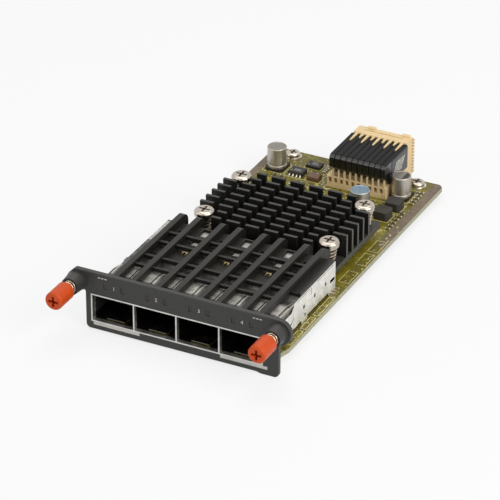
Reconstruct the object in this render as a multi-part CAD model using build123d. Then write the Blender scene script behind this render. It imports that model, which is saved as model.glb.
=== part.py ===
from build123d import *
import os

os.makedirs("parts", exist_ok=True)

# A four-port network module that slides into a chassis: a black bezel with two sprung
# thumbscrews, a steel port cage, a moulded frame of light pipes, a heat sink held by
# sprung screws and a backplane connector, all on one circuit board.
# Millimetres. X runs across the face, Y from the face to the backplane, Z up.
# The pieces are drawn with X = 0 in the middle of the ports, Y = 0 on the bezel's front
# and Z = 0 on the board's top, and all are moved by one step when they are written.

# Ports, collar and cage
PORT_COUNT = 4
PORT_PITCH = 14.25
PORT_OPEN_HEIGHT = 8.6
COLLAR_WALL = 0.45
COLLAR_PROUD = 0.1
CAGE_SHEET = 0.3
CAGE_LENGTH = 47.8
CAGE_OVER_PORT = 1.2
CAGE_SIDE_LIFT = 1.25
CAGE_SLOT_RADIUS = 0.55
CAGE_SLOT_PITCH = 7.45
CAGE_SLOT_COUNT = 4
CAGE_SLOT_START = 18.6
CAGE_TABS = (3.8, 4.0, 4.8)
CAGE_MIDDLE_TAB = 24.4
CAGE_FRONT_GAP = 0.15
CAGE_PIN_SIZE = 0.5
CAGE_PIN_DROP = 2.5
TONGUE_WIDTH = 5.8
TONGUE_LENGTH = 12.0
TONGUE_RISE = 0.7
FLOOR_FLANGE = (0.2, 1.15)
TONGUE_SLIT = 0.4
EMI_SHEET = 0.18
EMI_FLARE = 0.75
EMI_SIDE_FLARE = 1.2
EMI_LENGTH = 21.0
EMI_BAND = 2.4
EMI_SLOPE = 4.0
EMI_FINGER_PITCH = 3.5625
EMI_SLIT = 0.5
SOCKET_LENGTH = 9.0
SOCKET_HEIGHT = 6.0
SOCKET_SIDE = 0.5
SOCKET_REAR_GAP = 2.2
SOCKET_FLOOR_GAP = 2.2
SOCKET_WALL = 1.1
SOCKET_BACK_WALL = 2.4
SOCKET_MOUTH = (2.6, 1.8)
CONTACT_COUNT = 10
CONTACT_PITCH = 0.8
CONTACT_SIZE = 0.4
CONTACT_SHEET = 0.2
CONTACT_INSET = 0.3

# Bezel, ears and thumbscrews
PLATE_THICKNESS = 1.45
PLATE_LEFT_MARGIN = 1.875
PLATE_RIGHT_MARGIN = 5.075
PLATE_OVER_COLLAR = 7.325
PLATE_UNDER_BOARD = 1.3
PLATE_CORNER = 1.5
PLATE_EDGE = 0.3
FOOT_DROP = 0.4
FOOT_WIDTH = 5.8
FOOT_RAMP = 1.6
LUG_LENGTH = 8.0
LUG_WIDTH = 7.0
LUG_SPREAD = 44.0
EAR_OUT = 4.95
EAR_DROP = 4.3
EAR_RADII = (3.4, 4.3)
EAR_BLENDS = (0.5, 1.6)
EAR_SHOULDER = 1.2
BOSS_LENGTH = 4.2
BOSS_TIP_RADIUS = 2.85
BOSS_ROOT_RADIUS = 3.3
SPRING_SEAT = 0.9
SHANK_RADIUS = 1.5
SHANK_CLEARANCE = 0.08
SHANK_TAIL = 3.2
HEAD_RADIUS = 2.9
HEAD_LENGTH = 7.6
HEAD_ROUND = 0.8
HEAD_GAP = 2.4
HEAD_RECESS = 3.4
HEAD_RECESS_WIDTH = 0.85
HEAD_RECESS_DEPTH = 1.6
GROOVE_DEPTH = 0.35
RING_THICKNESS = 0.6
RING_WIDTH = 1.15
RING_MOUTH = 1.9
RING_GAP = 0.1
RING_PLAY = 0.05
THUMB_COIL_RADIUS = 1.9
THUMB_WIRE = 0.42
THUMB_TURNS = 5.0
THUMB_COIL_PLAY = 0.15

# Windows and light pipe frame
WINDOW_LEFT = -2.4
WINDOW_RIGHT = 3.45
WINDOW_WIDTH = 1.28
WINDOW_HEIGHT = 2.0
WINDOW_OVER_CAGE = 1.8
PIPE_PLAY = 0.05
PIPE_WIDTH = 0.95
PIPE_THICKNESS = 0.95
PIPE_RECESS = 0.15
BAR_WIDTH = 1.85
BAR_OVER_CAGE = 1.4
BAR_HEIGHT = 2.0
BAR_WEB = 0.75
BAR_BEND = 3.0
LEG_THICKNESS = 2.0
LEG_GAP = 0.15
CROSS_BARS_FROM_REAR = (34.15, 28.15, 19.05, 12.85)
CROSS_BAR_WIDTH = 1.0
CROSS_BAR_HEIGHT = 1.1
DECK_THICKNESS = 0.8
DECK_FRONT_GAP = 2.3
DECK_REAR_INSET = 1.4
DECK_LEFT_INSET = 2.1
RIM_WIDTH = 0.7
RIM_HEIGHT = 0.5
DECK_HOLE_WIDTH = 2.5
DECK_HOLE_SHIFT = 0.4
DECK_HOLES = ((17.4, 2.4), (10.9, 3.1), (4.9, 4.4))
DECK_SLOT = (20.7, 0.5, 2.8)
DECK_DOTS = (11.8, 5.0)
DECK_DOT_SIZE = 0.9
LED_SIZE = (1.2, 0.8, 0.6)

# Board
BOARD_THICKNESS = 1.6
BOARD_FRONT_GAP = 0.3
BOARD_LEFT_INSET = 0.05
BOARD_RIGHT_OUTSET = 2.8
BOARD_FRONT_CUT = (0.9, 8.8)
BOARD_FRONT_SLOPE = 3.2
BOARD_REAR_CHAMFER = 1.3
SINK_FRONT_GAP = 1.75
REAR_ZONE = 38.25

# Heat sink and what clamps it
SINK_ROWS = 9
SINK_COLUMNS = 8
FIN_ROW_PITCH = 3.95
FIN_COLUMN_PITCH = 6.57
FIN_THICKNESS = 1.05
FIN_LENGTH = 4.55
FIN_HEIGHT = 7.5
SINK_BASE = 1.9
CHIP_SIZE = 27.0
CHIP_HEIGHT = 2.3
PAD_THICKNESS = 0.3
PAD_INSET = 1.0
SINK_SCREW_INSET_X = 3.82
SINK_SCREW_INSET_Y = 3.575
SINK_POCKET_X = 4.15
SINK_POCKET_Y = 3.5
SINK_SCREW_RADIUS = 1.25
SINK_SCREW_HEAD_RADIUS = 3.25
SINK_SCREW_HEAD_HEIGHT = 1.9
SINK_SCREW_STANDOFF = 5.7
SINK_SPRING_TOP_RADIUS = 2.45
SINK_SPRING_BOTTOM_RADIUS = 1.75
SINK_WIRE = 0.65
SINK_TURNS = 4.0
SINK_NUT_HEIGHT = 1.4
HOLE_CLEARANCE = 0.1
SCREW_RECESS_WIDTH = 0.7

# Fasteners of the board
BOARD_SCREW_RADIUS = 1.0
BOARD_SCREW_HEAD_RADIUS = 2.4
BOARD_SCREW_HEAD_HEIGHT = 1.5
BOARD_SCREW_SPREAD = 44.4
BOARD_SCREW_FROM_REAR = 3.3
BEZEL_SCREW_HEAD_RADIUS = 1.8
BEZEL_SCREW_HEAD_HEIGHT = 1.0
BEZEL_SCREW_FROM_FACE = 6.2

# Backplane connector
WAFER_COUNT = 10
WAFER_PITCH = 2.0
WAFER_THICKNESS = 1.7
WAFER_TOP = 11.9
WAFER_NOSE_LOW = 7.7
WAFER_NOSE_ROUND = 1.4
WAFER_FROM_REAR = 17.4
COMB_TOP = 4.0
COMB_FROM_REAR = 16.9
COMB_MARGINS = (1.0, -0.15)
COMB_HOLE = (1.1, 1.75, 1.6)
COMB_HOLE_LOW = 1.75
COMB_HOLE_SHIFT = -0.75
COMB_PEG = (0.55, 0.5, 2.6)
COMB_PEG_SHIFT = 0.25
COMB_PEG_ROOT = 0.5
HOUSING_FRONT_FROM_REAR = 0.5
HOUSING_OVERHANG = 4.3
HOUSING_TOP = 12.4
HOUSING_INSETS = (0.55, 0.25)
HOUSING_SLOT = (0.9, 8.6, 4.0)
HOUSING_RIB = 0.65
HOUSING_RIB_COUNT = 11
KEY_HEIGHT = 0.9
KEY_WIDTH = 2.4
KEY_LENGTH = 1.3
KEY_MIDDLE = 1.5
KEY_SPREAD = 12.0
TOP_GROOVE = (0.5, 0.4)
TOP_GROOVE_INSET = 2.6
FINGER_THICKNESS = 0.4
FINGER_LONG = 5.4
FINGER_SHORT = 2.6
FINGER_WIDTH = 0.95
FINGER_TIP = 0.35
CONNECTOR_SHIFT = 7.375
SHIELD_THICKNESS = 0.22
SHIELD_STRIPE = (0.35, 5.0)
SHIELD_STRIPES = 6
SHIELD_STRIPE_PITCH = 1.15
SHIELD_STRIPE_START = 3.9
SHIELD_LEAN = -35
TAIL_SIZE = 0.4
TAIL_DROP = 2.4
TAIL_ROWS = 3

# Parts behind the heat sink, as distances from the board's middle and rear edge
CAN_RADIUS = 3.15
CAN_HEIGHT = 6.9
CAN_BASE = 6.4
CAN_BASE_HEIGHT = 0.9
CAN_GROOVE = 0.22
CAN_PLACES = ((-23.3, 12.8), (20.8, 12.7), (13.1, 27.2))
CONTROL_CHIP = (-15.5, 13.6, 5.0, 3.9, 1.5)
LOGIC_CHIP = (-12.6, 6.9, 5.0, 3.5, 1.0)
LEAD_PITCH = 1.27
LEAD_COUNT = 4
LEAD_SIZE = (0.45, 1.1, 0.2)
BROWN_COIL = (-8.9, 14.9, 4.0, 3.2, 1.6)
COIL_SIZE = (5.0, 5.0, 2.8)
COIL_PLACES = ((22.1, 20.6), (21.2, 27.4))
CERAMIC_SIZE = (1.0, 0.5, 0.5)
RESISTOR_SIZE = (1.6, 0.8, 0.4)

# Rows of small parts: first place, step across and step along, then how many stand in each row
CERAMIC_ROWS = (
    (-19.0, 34.0, 1.7, 0.0), (-3.0, 34.5, 1.7, 0.0), (-20.5, 30.5, 1.7, 0.0), (-7.5, 29.5, 1.7, 0.0),
    (-4.6, 19.6, 1.7, 0.0), (-8.0, 9.5, 0.0, 1.3), (-5.2, 12.0, 0.0, 1.3), (27.8, 78.0, 0.0, 1.6),
)
CERAMIC_COUNTS = (8, 7, 6, 9, 12, 5, 4, 3)
RESISTOR_ROWS = (
    (-21.0, 26.0, 2.6, 0.0), (-6.0, 25.0, 2.6, 0.0), (-14.0, 21.5, 2.6, 0.0),
    (25.9, 34.0, 0.0, 2.2), (25.9, 16.0, 0.0, 2.0), (-21.5, 17.5, 2.4, 0.0),
)
RESISTOR_COUNTS = (5, 6, 3, 6, 5, 2)

# Derived places
ROW_WIDTH = PORT_COUNT * PORT_PITCH
PORT_CENTRES = [(i - (PORT_COUNT - 1) / 2) * PORT_PITCH for i in range(PORT_COUNT)]
DIVIDERS = [x + PORT_PITCH / 2 for x in PORT_CENTRES[:-1]]
COLLAR_HALF = (ROW_WIDTH + COLLAR_WALL) / 2
COLLAR_LOW = -COLLAR_WALL / 2
COLLAR_TOP = COLLAR_LOW + PORT_OPEN_HEIGHT + 2 * COLLAR_WALL
CAGE_HALF = (ROW_WIDTH + CAGE_SHEET) / 2
CAGE_FRONT = PLATE_THICKNESS + CAGE_FRONT_GAP
CAGE_REAR = CAGE_FRONT + CAGE_LENGTH
CAGE_TOP = PORT_OPEN_HEIGHT + CAGE_OVER_PORT
SOCKET_REAR = CAGE_REAR - SOCKET_REAR_GAP
SOCKET_FRONT = SOCKET_REAR - SOCKET_LENGTH
FLOOR_REAR = SOCKET_FRONT - SOCKET_FLOOR_GAP
EMI_FRONT = CAGE_FRONT + CAGE_SHEET
EMI_REAR = EMI_FRONT + EMI_LENGTH
PLATE_LEFT = -COLLAR_HALF - PLATE_LEFT_MARGIN
PLATE_RIGHT = COLLAR_HALF + PLATE_RIGHT_MARGIN
PLATE_TOP = COLLAR_TOP + PLATE_OVER_COLLAR
PLATE_LOW = -BOARD_THICKNESS - PLATE_UNDER_BOARD
FOOT_LOW = PLATE_LOW - FOOT_DROP
EAR_X = CAGE_HALF + EAR_OUT
EAR_Z = PLATE_TOP - EAR_DROP
HEAD_BACK = -BOSS_LENGTH - HEAD_GAP
HEAD_FRONT = HEAD_BACK - HEAD_LENGTH
RING_FRONT = PLATE_THICKNESS + RING_GAP
WINDOWS = [x + side for x in PORT_CENTRES for side in (WINDOW_LEFT, WINDOW_RIGHT)]
WINDOW_LOW = CAGE_TOP + WINDOW_OVER_CAGE
WINDOW_TOP = WINDOW_LOW + WINDOW_HEIGHT
BAR_LOW = CAGE_TOP + BAR_OVER_CAGE
BAR_TOP = BAR_LOW + BAR_HEIGHT
BAR_FRONT = PLATE_THICKNESS + PIPE_PLAY
LEG_FRONT = CAGE_REAR + LEG_GAP
LEG_REAR = LEG_FRONT + LEG_THICKNESS
CHANNEL_TOP = BAR_TOP - BAR_WEB
CHANNEL_REAR = LEG_REAR - BAR_WEB
LEG_LOW = LED_SIZE[2] + PIPE_RECESS
LED_Y = CHANNEL_REAR - PIPE_THICKNESS / 2
DECK_FRONT = EMI_REAR + DECK_FRONT_GAP
DECK_REAR = CAGE_REAR - DECK_REAR_INSET
DECK_TOP = CAGE_TOP + DECK_THICKNESS
BOARD_FRONT = PLATE_THICKNESS + BOARD_FRONT_GAP
BOARD_LEFT = -CAGE_HALF + BOARD_LEFT_INSET
BOARD_RIGHT = CAGE_HALF + BOARD_RIGHT_OUTSET
BOARD_X = (BOARD_LEFT + BOARD_RIGHT) / 2
SINK_FRONT = LEG_REAR + SINK_FRONT_GAP
SINK_DEPTH = (SINK_ROWS - 1) * FIN_ROW_PITCH + FIN_THICKNESS
SINK_WIDTH = (SINK_COLUMNS - 1) * FIN_COLUMN_PITCH + FIN_LENGTH
SINK_REAR = SINK_FRONT + SINK_DEPTH
SINK_Y = (SINK_FRONT + SINK_REAR) / 2
SINK_LOW = CHIP_HEIGHT + PAD_THICKNESS
SINK_BASE_TOP = SINK_LOW + SINK_BASE
SINK_TOP = SINK_BASE_TOP + FIN_HEIGHT
SCREW_SEAT = SINK_BASE_TOP + SINK_SCREW_STANDOFF
SINK_SCREWS = [(BOARD_X + sx * (SINK_WIDTH / 2 - SINK_SCREW_INSET_X),
                SINK_Y + sy * (SINK_DEPTH / 2 - SINK_SCREW_INSET_Y))
               for sx in (-1, 1) for sy in (-1, 1)]
BOARD_REAR = SINK_REAR + REAR_ZONE
BOARD_SCREWS = [(BOARD_X + side * BOARD_SCREW_SPREAD / 2, BOARD_REAR - BOARD_SCREW_FROM_REAR)
                for side in (-1, 1)]
BEZEL_SCREWS = [(side * LUG_SPREAD / 2, BEZEL_SCREW_FROM_FACE) for side in (-1, 1)]
CONNECTOR_X = BOARD_X + CONNECTOR_SHIFT
WAFER_SPAN = (WAFER_COUNT - 1) * WAFER_PITCH + WAFER_THICKNESS
WAFERS = [CONNECTOR_X + (i - (WAFER_COUNT - 1) / 2) * WAFER_PITCH for i in range(WAFER_COUNT)]
BETWEEN_WAFERS = [x + WAFER_PITCH / 2 for x in WAFERS[:-1]]
WAFER_FRONT = BOARD_REAR - WAFER_FROM_REAR
WAFER_LOW = COMB_TOP + PIPE_PLAY
COMB_FRONT = BOARD_REAR - COMB_FROM_REAR
COMB_LEFT = CONNECTOR_X - WAFER_SPAN / 2 - COMB_MARGINS[0]
COMB_RIGHT = CONNECTOR_X + WAFER_SPAN / 2 + COMB_MARGINS[1]
HOUSING_FRONT = BOARD_REAR - HOUSING_FRONT_FROM_REAR
HOUSING_REAR = BOARD_REAR + HOUSING_OVERHANG
HOUSING_LEFT = CONNECTOR_X - WAFER_SPAN / 2 + HOUSING_INSETS[0]
HOUSING_RIGHT = CONNECTOR_X + WAFER_SPAN / 2 - HOUSING_INSETS[1]
CAGE_PINS = [(side * (CAGE_HALF - CAGE_SHEET / 2), CAGE_FRONT + share * CAGE_LENGTH)
             for side in (-1, 1) for share in (0.04, 0.3, 0.55, 0.96)]
TAILS = [(x, COMB_FRONT + (row + 0.5) * (HOUSING_FRONT - COMB_FRONT) / TAIL_ROWS)
         for x in WAFERS for row in range(TAIL_ROWS)]
MIDDLE_X = (EAR_RADII[1] - EAR_RADII[0]) / 2
MIDDLE_Y = (HEAD_FRONT + HOUSING_REAR) / 2
MOVE = Pos(-MIDDLE_X, -MIDDLE_Y, -FOOT_LOW)


def block(x0, x1, y0, y1, z0, z1):
    """Rectangular block between two corners."""
    return Pos((x0 + x1) / 2, (y0 + y1) / 2, (z0 + z1) / 2) * Box(x1 - x0, y1 - y0, z1 - z0)


def block_at(x, y, size, z=0):
    """Rectangular block centred on X and Y that stands on Z."""
    width, depth, height = size
    return block(x - width / 2, x + width / 2, y - depth / 2, y + depth / 2, z, z + height)


def post(x, y, z0, z1, radius):
    """Upright round bar."""
    return Pos(x, y, (z0 + z1) / 2) * Cylinder(radius, z1 - z0)


def rod(x, z, y0, y1, radius):
    """Round bar along Y."""
    return Pos(x, (y0 + y1) / 2, z) * Rot(90, 0, 0) * Cylinder(radius, y1 - y0)


def face_on(outline, y0, y1):
    """Extrudes an outline drawn in X and Z along Y."""
    return extrude(Plane((0, y1, 0), (1, 0, 0), (0, -1, 0)) * outline, y1 - y0)


def side_on(outline, x0, x1):
    """Extrudes an outline drawn in Y and Z along X."""
    return extrude(Plane((x0, 0, 0), (0, 1, 0), (1, 0, 0)) * outline, x1 - x0)


def shape(*points):
    """Closed outline through the points."""
    return make_face(Polyline(*points, close=True))


def rounded(outline, radius, places):
    """Rounds the outline's corners that lie nearest to the places."""
    for place in places:
        corner = outline.vertices().sort_by_distance(Vector(*place))[0]
        outline = fillet(corner, radius)
    return outline


def lean_angle(lean):
    """Cone angle in degrees for a radius that grows by lean for each millimetre of height."""
    return 0 if lean == 0 else Vector(lean, 0, 1).get_angle(Vector(0, 0, 1)) * (1 if lean > 0 else -1)


def coil(bottom_radius, top_radius, length, turns, wire):
    """Spring wound about Z that stands on Z = 0 and is as tall as its length."""
    rise = length - wire
    lean = (top_radius - bottom_radius) / rise
    path = Helix(rise / turns, rise, bottom_radius, center=(0, 0, wire / 2), cone_angle=lean_angle(lean))
    section = Plane(path @ 0, z_dir=path % 0) * RegularPolygon(wire / 2, 6)
    return sweep(section, path, is_frenet=True)


def cross(length, width, depth, top):
    """Cross recess whose mouth is at Z = top."""
    centre = Pos(0, 0, top - depth / 2)
    return centre * (Box(length, width, depth) + Box(width, length, depth))


def pan_screw(head_radius, head_height, shank_radius, reach):
    """Screw with its head standing on Z = 0 and its shank reaching down."""
    head = Pos(0, 0, head_height / 2) * Cylinder(head_radius, head_height)
    head = fillet(head.edges().sort_by(Axis.Z)[-1], head_height * 0.55)
    shank = Pos(0, 0, -reach / 2) * Cylinder(shank_radius, reach)
    return head + shank - cross(head_radius * 1.1, SCREW_RECESS_WIDTH, head_height * 0.6, head_height)


def hex_nut(across_corners, height, bore):
    """Nut whose top is at Z = 0."""
    blank = extrude(RegularPolygon(across_corners / 2, 6), -height)
    return blank - Cylinder(bore, 4 * height)


def ear_outline(side, radius):
    """Round end of the plate about one thumbscrew; a slim one gets a shoulder up to the plate's top."""
    tip = Pos(side * EAR_X, EAR_Z) * Circle(radius)
    if radius < EAR_DROP:
        shoulder = Pos(side * EAR_X, PLATE_TOP - EAR_SHOULDER) * Circle(EAR_SHOULDER)
        tip = make_hull(tip.edges() + shoulder.edges())
    return tip + Pos(side * (EAR_X - EAR_OUT), (EAR_Z + PLATE_TOP) / 2) * Rectangle(2 * EAR_OUT, EAR_DROP)


def bezel_outline():
    """Face of the bezel: a plate with a round ear at each end and a lower right foot."""
    ramp_end = PLATE_RIGHT - FOOT_WIDTH
    plate = shape(
        (PLATE_LEFT, PLATE_TOP), (PLATE_LEFT, PLATE_LOW), (ramp_end - FOOT_RAMP, PLATE_LOW),
        (ramp_end, FOOT_LOW), (PLATE_RIGHT, FOOT_LOW), (PLATE_RIGHT, EAR_Z), (EAR_X, PLATE_TOP),
    )
    outline = plate + [ear_outline(side, radius) for side, radius in zip((-1, 1), EAR_RADII)]
    outline = rounded(outline, PLATE_CORNER, ((PLATE_LEFT, PLATE_LOW), (PLATE_RIGHT, FOOT_LOW)))
    left_radius, right_radius = EAR_RADII
    left_root = (PLATE_LEFT, EAR_Z - (left_radius ** 2 - (EAR_X + PLATE_LEFT) ** 2) ** 0.5)
    right_root = (PLATE_RIGHT, EAR_Z - (right_radius ** 2 - (PLATE_RIGHT - EAR_X) ** 2) ** 0.5)
    left_blend, right_blend = EAR_BLENDS
    return rounded(rounded(outline, left_blend, (left_root,)), right_blend, (right_root,))


def boss(x):
    """Conical boss in front of one ear."""
    length = BOSS_LENGTH + PLATE_THICKNESS / 2
    cone = Pos(0, 0, BOSS_LENGTH - length / 2) * Cone(BOSS_ROOT_RADIUS, BOSS_TIP_RADIUS, length)
    return Pos(x, 0, EAR_Z) * Rot(90, 0, 0) * cone


def bezel_lug(x):
    """Tab behind the bezel that carries the board's front edge."""
    half = LUG_WIDTH / 2
    rear = PLATE_THICKNESS + LUG_LENGTH
    tab = block(x - half, x + half, 0.5 * PLATE_THICKNESS, rear, PLATE_LOW, -BOARD_THICKNESS)
    return fillet(tab.edges().filter_by(Axis.Z).group_by(Axis.Y)[-1], PLATE_CORNER)


def bezel():
    plate = face_on(bezel_outline(), 0, PLATE_THICKNESS)
    front = plate.faces().sort_by(Axis.Y)[0]
    plate = fillet(front.outer_wire().edges(), PLATE_EDGE)
    body = plate + [boss(x) for x in (-EAR_X, EAR_X)] + [bezel_lug(x) for x, _ in BEZEL_SCREWS]
    return body - bezel_holes()


def bezel_holes():
    """Port mouth, light windows, spring seats, shank holes and countersinks."""
    mouth = COLLAR_HALF + PIPE_PLAY
    holes = [block(-mouth, mouth, -1, PLATE_THICKNESS + 1, COLLAR_LOW - PIPE_PLAY, COLLAR_TOP + PIPE_PLAY)]
    for x in WINDOWS:
        half = WINDOW_WIDTH / 2
        holes.append(block(x - half, x + half, -1, PLATE_THICKNESS + 1, WINDOW_LOW, WINDOW_TOP))
    seat = THUMB_COIL_RADIUS + THUMB_WIRE / 2 + THUMB_COIL_PLAY
    bore = SHANK_RADIUS + SHANK_CLEARANCE
    for x in (-EAR_X, EAR_X):
        holes.append(rod(x, EAR_Z, -BOSS_LENGTH - 1, -SPRING_SEAT, seat))
        holes.append(rod(x, EAR_Z, -BOSS_LENGTH, PLATE_THICKNESS + 1, bore))
    sink = countersunk(BEZEL_SCREW_HEAD_RADIUS, BOARD_SCREW_RADIUS + HOLE_CLEARANCE, 2 * BOARD_THICKNESS)
    return holes + [Pos(x, y, PLATE_LOW) * sink for x, y in BEZEL_SCREWS]


def countersunk(head_radius, shank_radius, reach):
    """Countersunk shape pointing up, with its flat face at Z = 0."""
    slope = BEZEL_SCREW_HEAD_HEIGHT
    head = Pos(0, 0, slope / 2) * Cone(head_radius, shank_radius, slope)
    return head + Pos(0, 0, reach / 2) * Cylinder(shank_radius, reach)


def bezel_screws():
    reach = PLATE_UNDER_BOARD + BOARD_THICKNESS - HOLE_CLEARANCE
    screw = countersunk(BEZEL_SCREW_HEAD_RADIUS, BOARD_SCREW_RADIUS, reach)
    slot = cross(2 * BOARD_SCREW_RADIUS, SCREW_RECESS_WIDTH / 1.5, BEZEL_SCREW_HEAD_HEIGHT / 2,
                 BEZEL_SCREW_HEAD_HEIGHT / 2)
    return [Pos(x, y, PLATE_LOW) * (screw - slot) for x, y in BEZEL_SCREWS]


def port_collar():
    """Bright frame that lines the four port mouths."""
    body = block(-COLLAR_HALF, COLLAR_HALF, -COLLAR_PROUD, PLATE_THICKNESS, COLLAR_LOW, COLLAR_TOP)
    half = (PORT_PITCH - COLLAR_WALL) / 2
    low = COLLAR_LOW + COLLAR_WALL
    mouths = [block(x - half, x + half, -1, PLATE_THICKNESS + 1, low, low + PORT_OPEN_HEIGHT)
              for x in PORT_CENTRES]
    return body - mouths


def cage_side_slots(side):
    """Round slots, seams and notches in one side wall of the cage."""
    x0, x1 = sorted((side * (CAGE_HALF - 2 * CAGE_SHEET), side * (CAGE_HALF + CAGE_SHEET)))
    middle = 0.54 * CAGE_TOP
    first = CAGE_FRONT + CAGE_SLOT_START
    slot = SlotOverall(2.4 * CAGE_SLOT_RADIUS, 2 * CAGE_SLOT_RADIUS, rotation=90)
    holes = [side_on(Pos(first + i * CAGE_SLOT_PITCH, middle) * slot, x0, x1) for i in range(CAGE_SLOT_COUNT)]
    slit = CAGE_SHEET / 1.5
    high = CAGE_TOP - CAGE_SHEET - slit
    low = 0.68 * CAGE_TOP
    seam = first + 1.7 * CAGE_SLOT_PITCH
    front_seam = first - CAGE_SLOT_PITCH / 4
    holes.append(block(x0, x1, seam - slit, seam + slit / 2, low, high))
    holes.append(block(x0, x1, front_seam, front_seam + slit, low, high - 4 * slit))
    holes.append(block(x0, x1, front_seam + 4 * slit, seam - 4 * slit, high - slit, high))
    holes.append(block(x0, x1, seam + CAGE_SLOT_PITCH / 2, seam + 2 * CAGE_SLOT_PITCH, high - slit, high))
    notch = CAGE_REAR - CAGE_SLOT_PITCH / 2
    holes.append(block(x0, x1, notch, CAGE_REAR - 2 * CAGE_SHEET, 0.38 * CAGE_TOP, 0.5 * CAGE_TOP))
    lower_place = Pos(first + 1.1 * CAGE_SLOT_PITCH, CAGE_SIDE_LIFT + 1.5 * CAGE_SLOT_RADIUS)
    return holes + [side_on(lower_place * Circle(CAGE_SLOT_RADIUS), x0, x1)]


def cage_shell():
    """Folded steel box without front or bottom, standing on tabs and pins."""
    inner = CAGE_HALF - CAGE_SHEET
    shell = block(-CAGE_HALF, CAGE_HALF, CAGE_FRONT, CAGE_REAR, 0, CAGE_TOP)
    room = block(-inner, inner, CAGE_FRONT - 1, CAGE_REAR - CAGE_SHEET, -1, CAGE_TOP - CAGE_SHEET)
    front_tab, middle_tab, rear_tab = CAGE_TABS
    middle = CAGE_FRONT + CAGE_MIDDLE_TAB
    cuts = [room]
    for start, end in ((CAGE_FRONT + front_tab, middle), (middle + middle_tab, CAGE_REAR - rear_tab)):
        cuts.append(block(-CAGE_HALF - 1, CAGE_HALF + 1, start, end, -1, CAGE_SIDE_LIFT))
    for side in (-1, 1):
        cuts += cage_side_slots(side)
    pins = []
    half = CAGE_PIN_SIZE / 2
    sheet = CAGE_SHEET / 2
    for x, y in CAGE_PINS:
        pins.append(block(x - sheet, x + sheet, y - half, y + half, -CAGE_PIN_DROP, CAGE_SIDE_LIFT + 1))
    return shell - cuts + pins


def cage_floor():
    """Floor sheet of the cage with a low flange at each side and one latch tongue in each port."""
    inner = CAGE_HALF - 1.5 * CAGE_SHEET
    sheet = block(-inner, inner, CAGE_FRONT, FLOOR_REAR, 0, CAGE_SHEET)
    root = CAGE_FRONT + TONGUE_LENGTH
    wells = [block(x - TONGUE_WIDTH / 2 - TONGUE_SLIT, x + TONGUE_WIDTH / 2 + TONGUE_SLIT,
                   CAGE_FRONT - 1, root, -1, 1) for x in PORT_CENTRES]
    tip = CAGE_FRONT
    knee = CAGE_FRONT + TONGUE_LENGTH / 4
    profile = shape(
        (root + 1, 0), (root + 1, CAGE_SHEET), (root, CAGE_SHEET), (knee, CAGE_SHEET + TONGUE_RISE),
        (tip, CAGE_SHEET + TONGUE_RISE), (tip, TONGUE_RISE), (knee, TONGUE_RISE), (root, 0),
    )
    tongues = [side_on(profile, x - TONGUE_WIDTH / 2, x + TONGUE_WIDTH / 2) for x in PORT_CENTRES]
    latch = TONGUE_WIDTH / 5
    windows = [Pos(x, knee, 0) * extrude(RegularPolygon(latch, 3, rotation=90), 3) for x in PORT_CENTRES]
    thickness, height = FLOOR_FLANGE
    flanges = [block(x, x + thickness, CAGE_FRONT, FLOOR_REAR, 0, height) for x in (-inner, inner - thickness)]
    return sheet - wells + tongues + flanges - windows


def cage_divider(x):
    """Wall between two ports."""
    half = CAGE_SHEET / 2
    rear = CAGE_REAR - 4 * CAGE_SHEET
    wall = block(x - half, x + half, CAGE_FRONT, rear, CAGE_SHEET, CAGE_TOP - CAGE_SHEET)
    first = CAGE_FRONT + CAGE_SLOT_START
    slots = [side_on(Pos(first + i * CAGE_SLOT_PITCH, CAGE_TOP / 2) * Circle(CAGE_SLOT_RADIUS), x - 1, x + 1)
             for i in range(CAGE_SLOT_COUNT - 1)]
    return wall - slots


def emi_profile(outset, flare):
    """Section of a sprung finger, as (distance along Y, distance off the cage) pairs."""
    band = EMI_REAR - EMI_BAND
    knee = band - EMI_SLOPE
    sheet = EMI_SHEET
    run = ((EMI_FRONT, flare - sheet), (EMI_FRONT + sheet, flare), (knee, flare), (band, 0), (EMI_REAR, 0))
    lower = [(y, outset + offset) for y, offset in run]
    upper = [(y, outset + offset + sheet) for y, offset in reversed(run)]
    return lower + upper


def emi_wall(side):
    """Sprung fingers along one side of the cage."""
    inset = EMI_SLIT + EMI_SHEET
    height = CAGE_TOP - CAGE_SIDE_LIFT - 2 * inset
    points = [(side * off, y) for y, off in emi_profile(CAGE_HALF, EMI_SIDE_FLARE)]
    wall = extrude(Pos(0, 0, CAGE_SIDE_LIFT + inset) * shape(*points), height)
    middle = (CAGE_TOP + CAGE_SIDE_LIFT) / 2
    x0, x1 = sorted((side * CAGE_HALF, side * (CAGE_HALF + 2 * EMI_SIDE_FLARE)))
    slit_rear = EMI_REAR - EMI_BAND - EMI_SLIT
    return wall - block(x0, x1, 0, slit_rear, middle - EMI_SLIT / 2, middle + EMI_SLIT / 2)


def emi_collar():
    """Spring fingers round the cage's front, fixed by a band at their rear."""
    outer = CAGE_HALF + EMI_SHEET
    band = block(-outer, outer, EMI_REAR - EMI_BAND, EMI_REAR, CAGE_SIDE_LIFT, CAGE_TOP + EMI_SHEET)
    band -= block(-CAGE_HALF, CAGE_HALF, 0, 2 * EMI_REAR, -1, CAGE_TOP)
    inset = EMI_SLIT + EMI_SHEET
    top = side_on(shape(*emi_profile(CAGE_TOP, EMI_FLARE)), -CAGE_HALF + inset, CAGE_HALF - inset)
    slits = []
    slit_rear = EMI_REAR - EMI_BAND - EMI_SLIT
    above = CAGE_TOP + 3 * EMI_FLARE
    count = int(2 * CAGE_HALF / EMI_FINGER_PITCH)
    for i in range(count - 1):
        x = (i + 1 - count / 2) * EMI_FINGER_PITCH
        slits.append(block(x - EMI_SLIT / 2, x + EMI_SLIT / 2, 0, slit_rear, CAGE_TOP, above))
    return band + (top - slits) + [emi_wall(side) for side in (-1, 1)]


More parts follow.
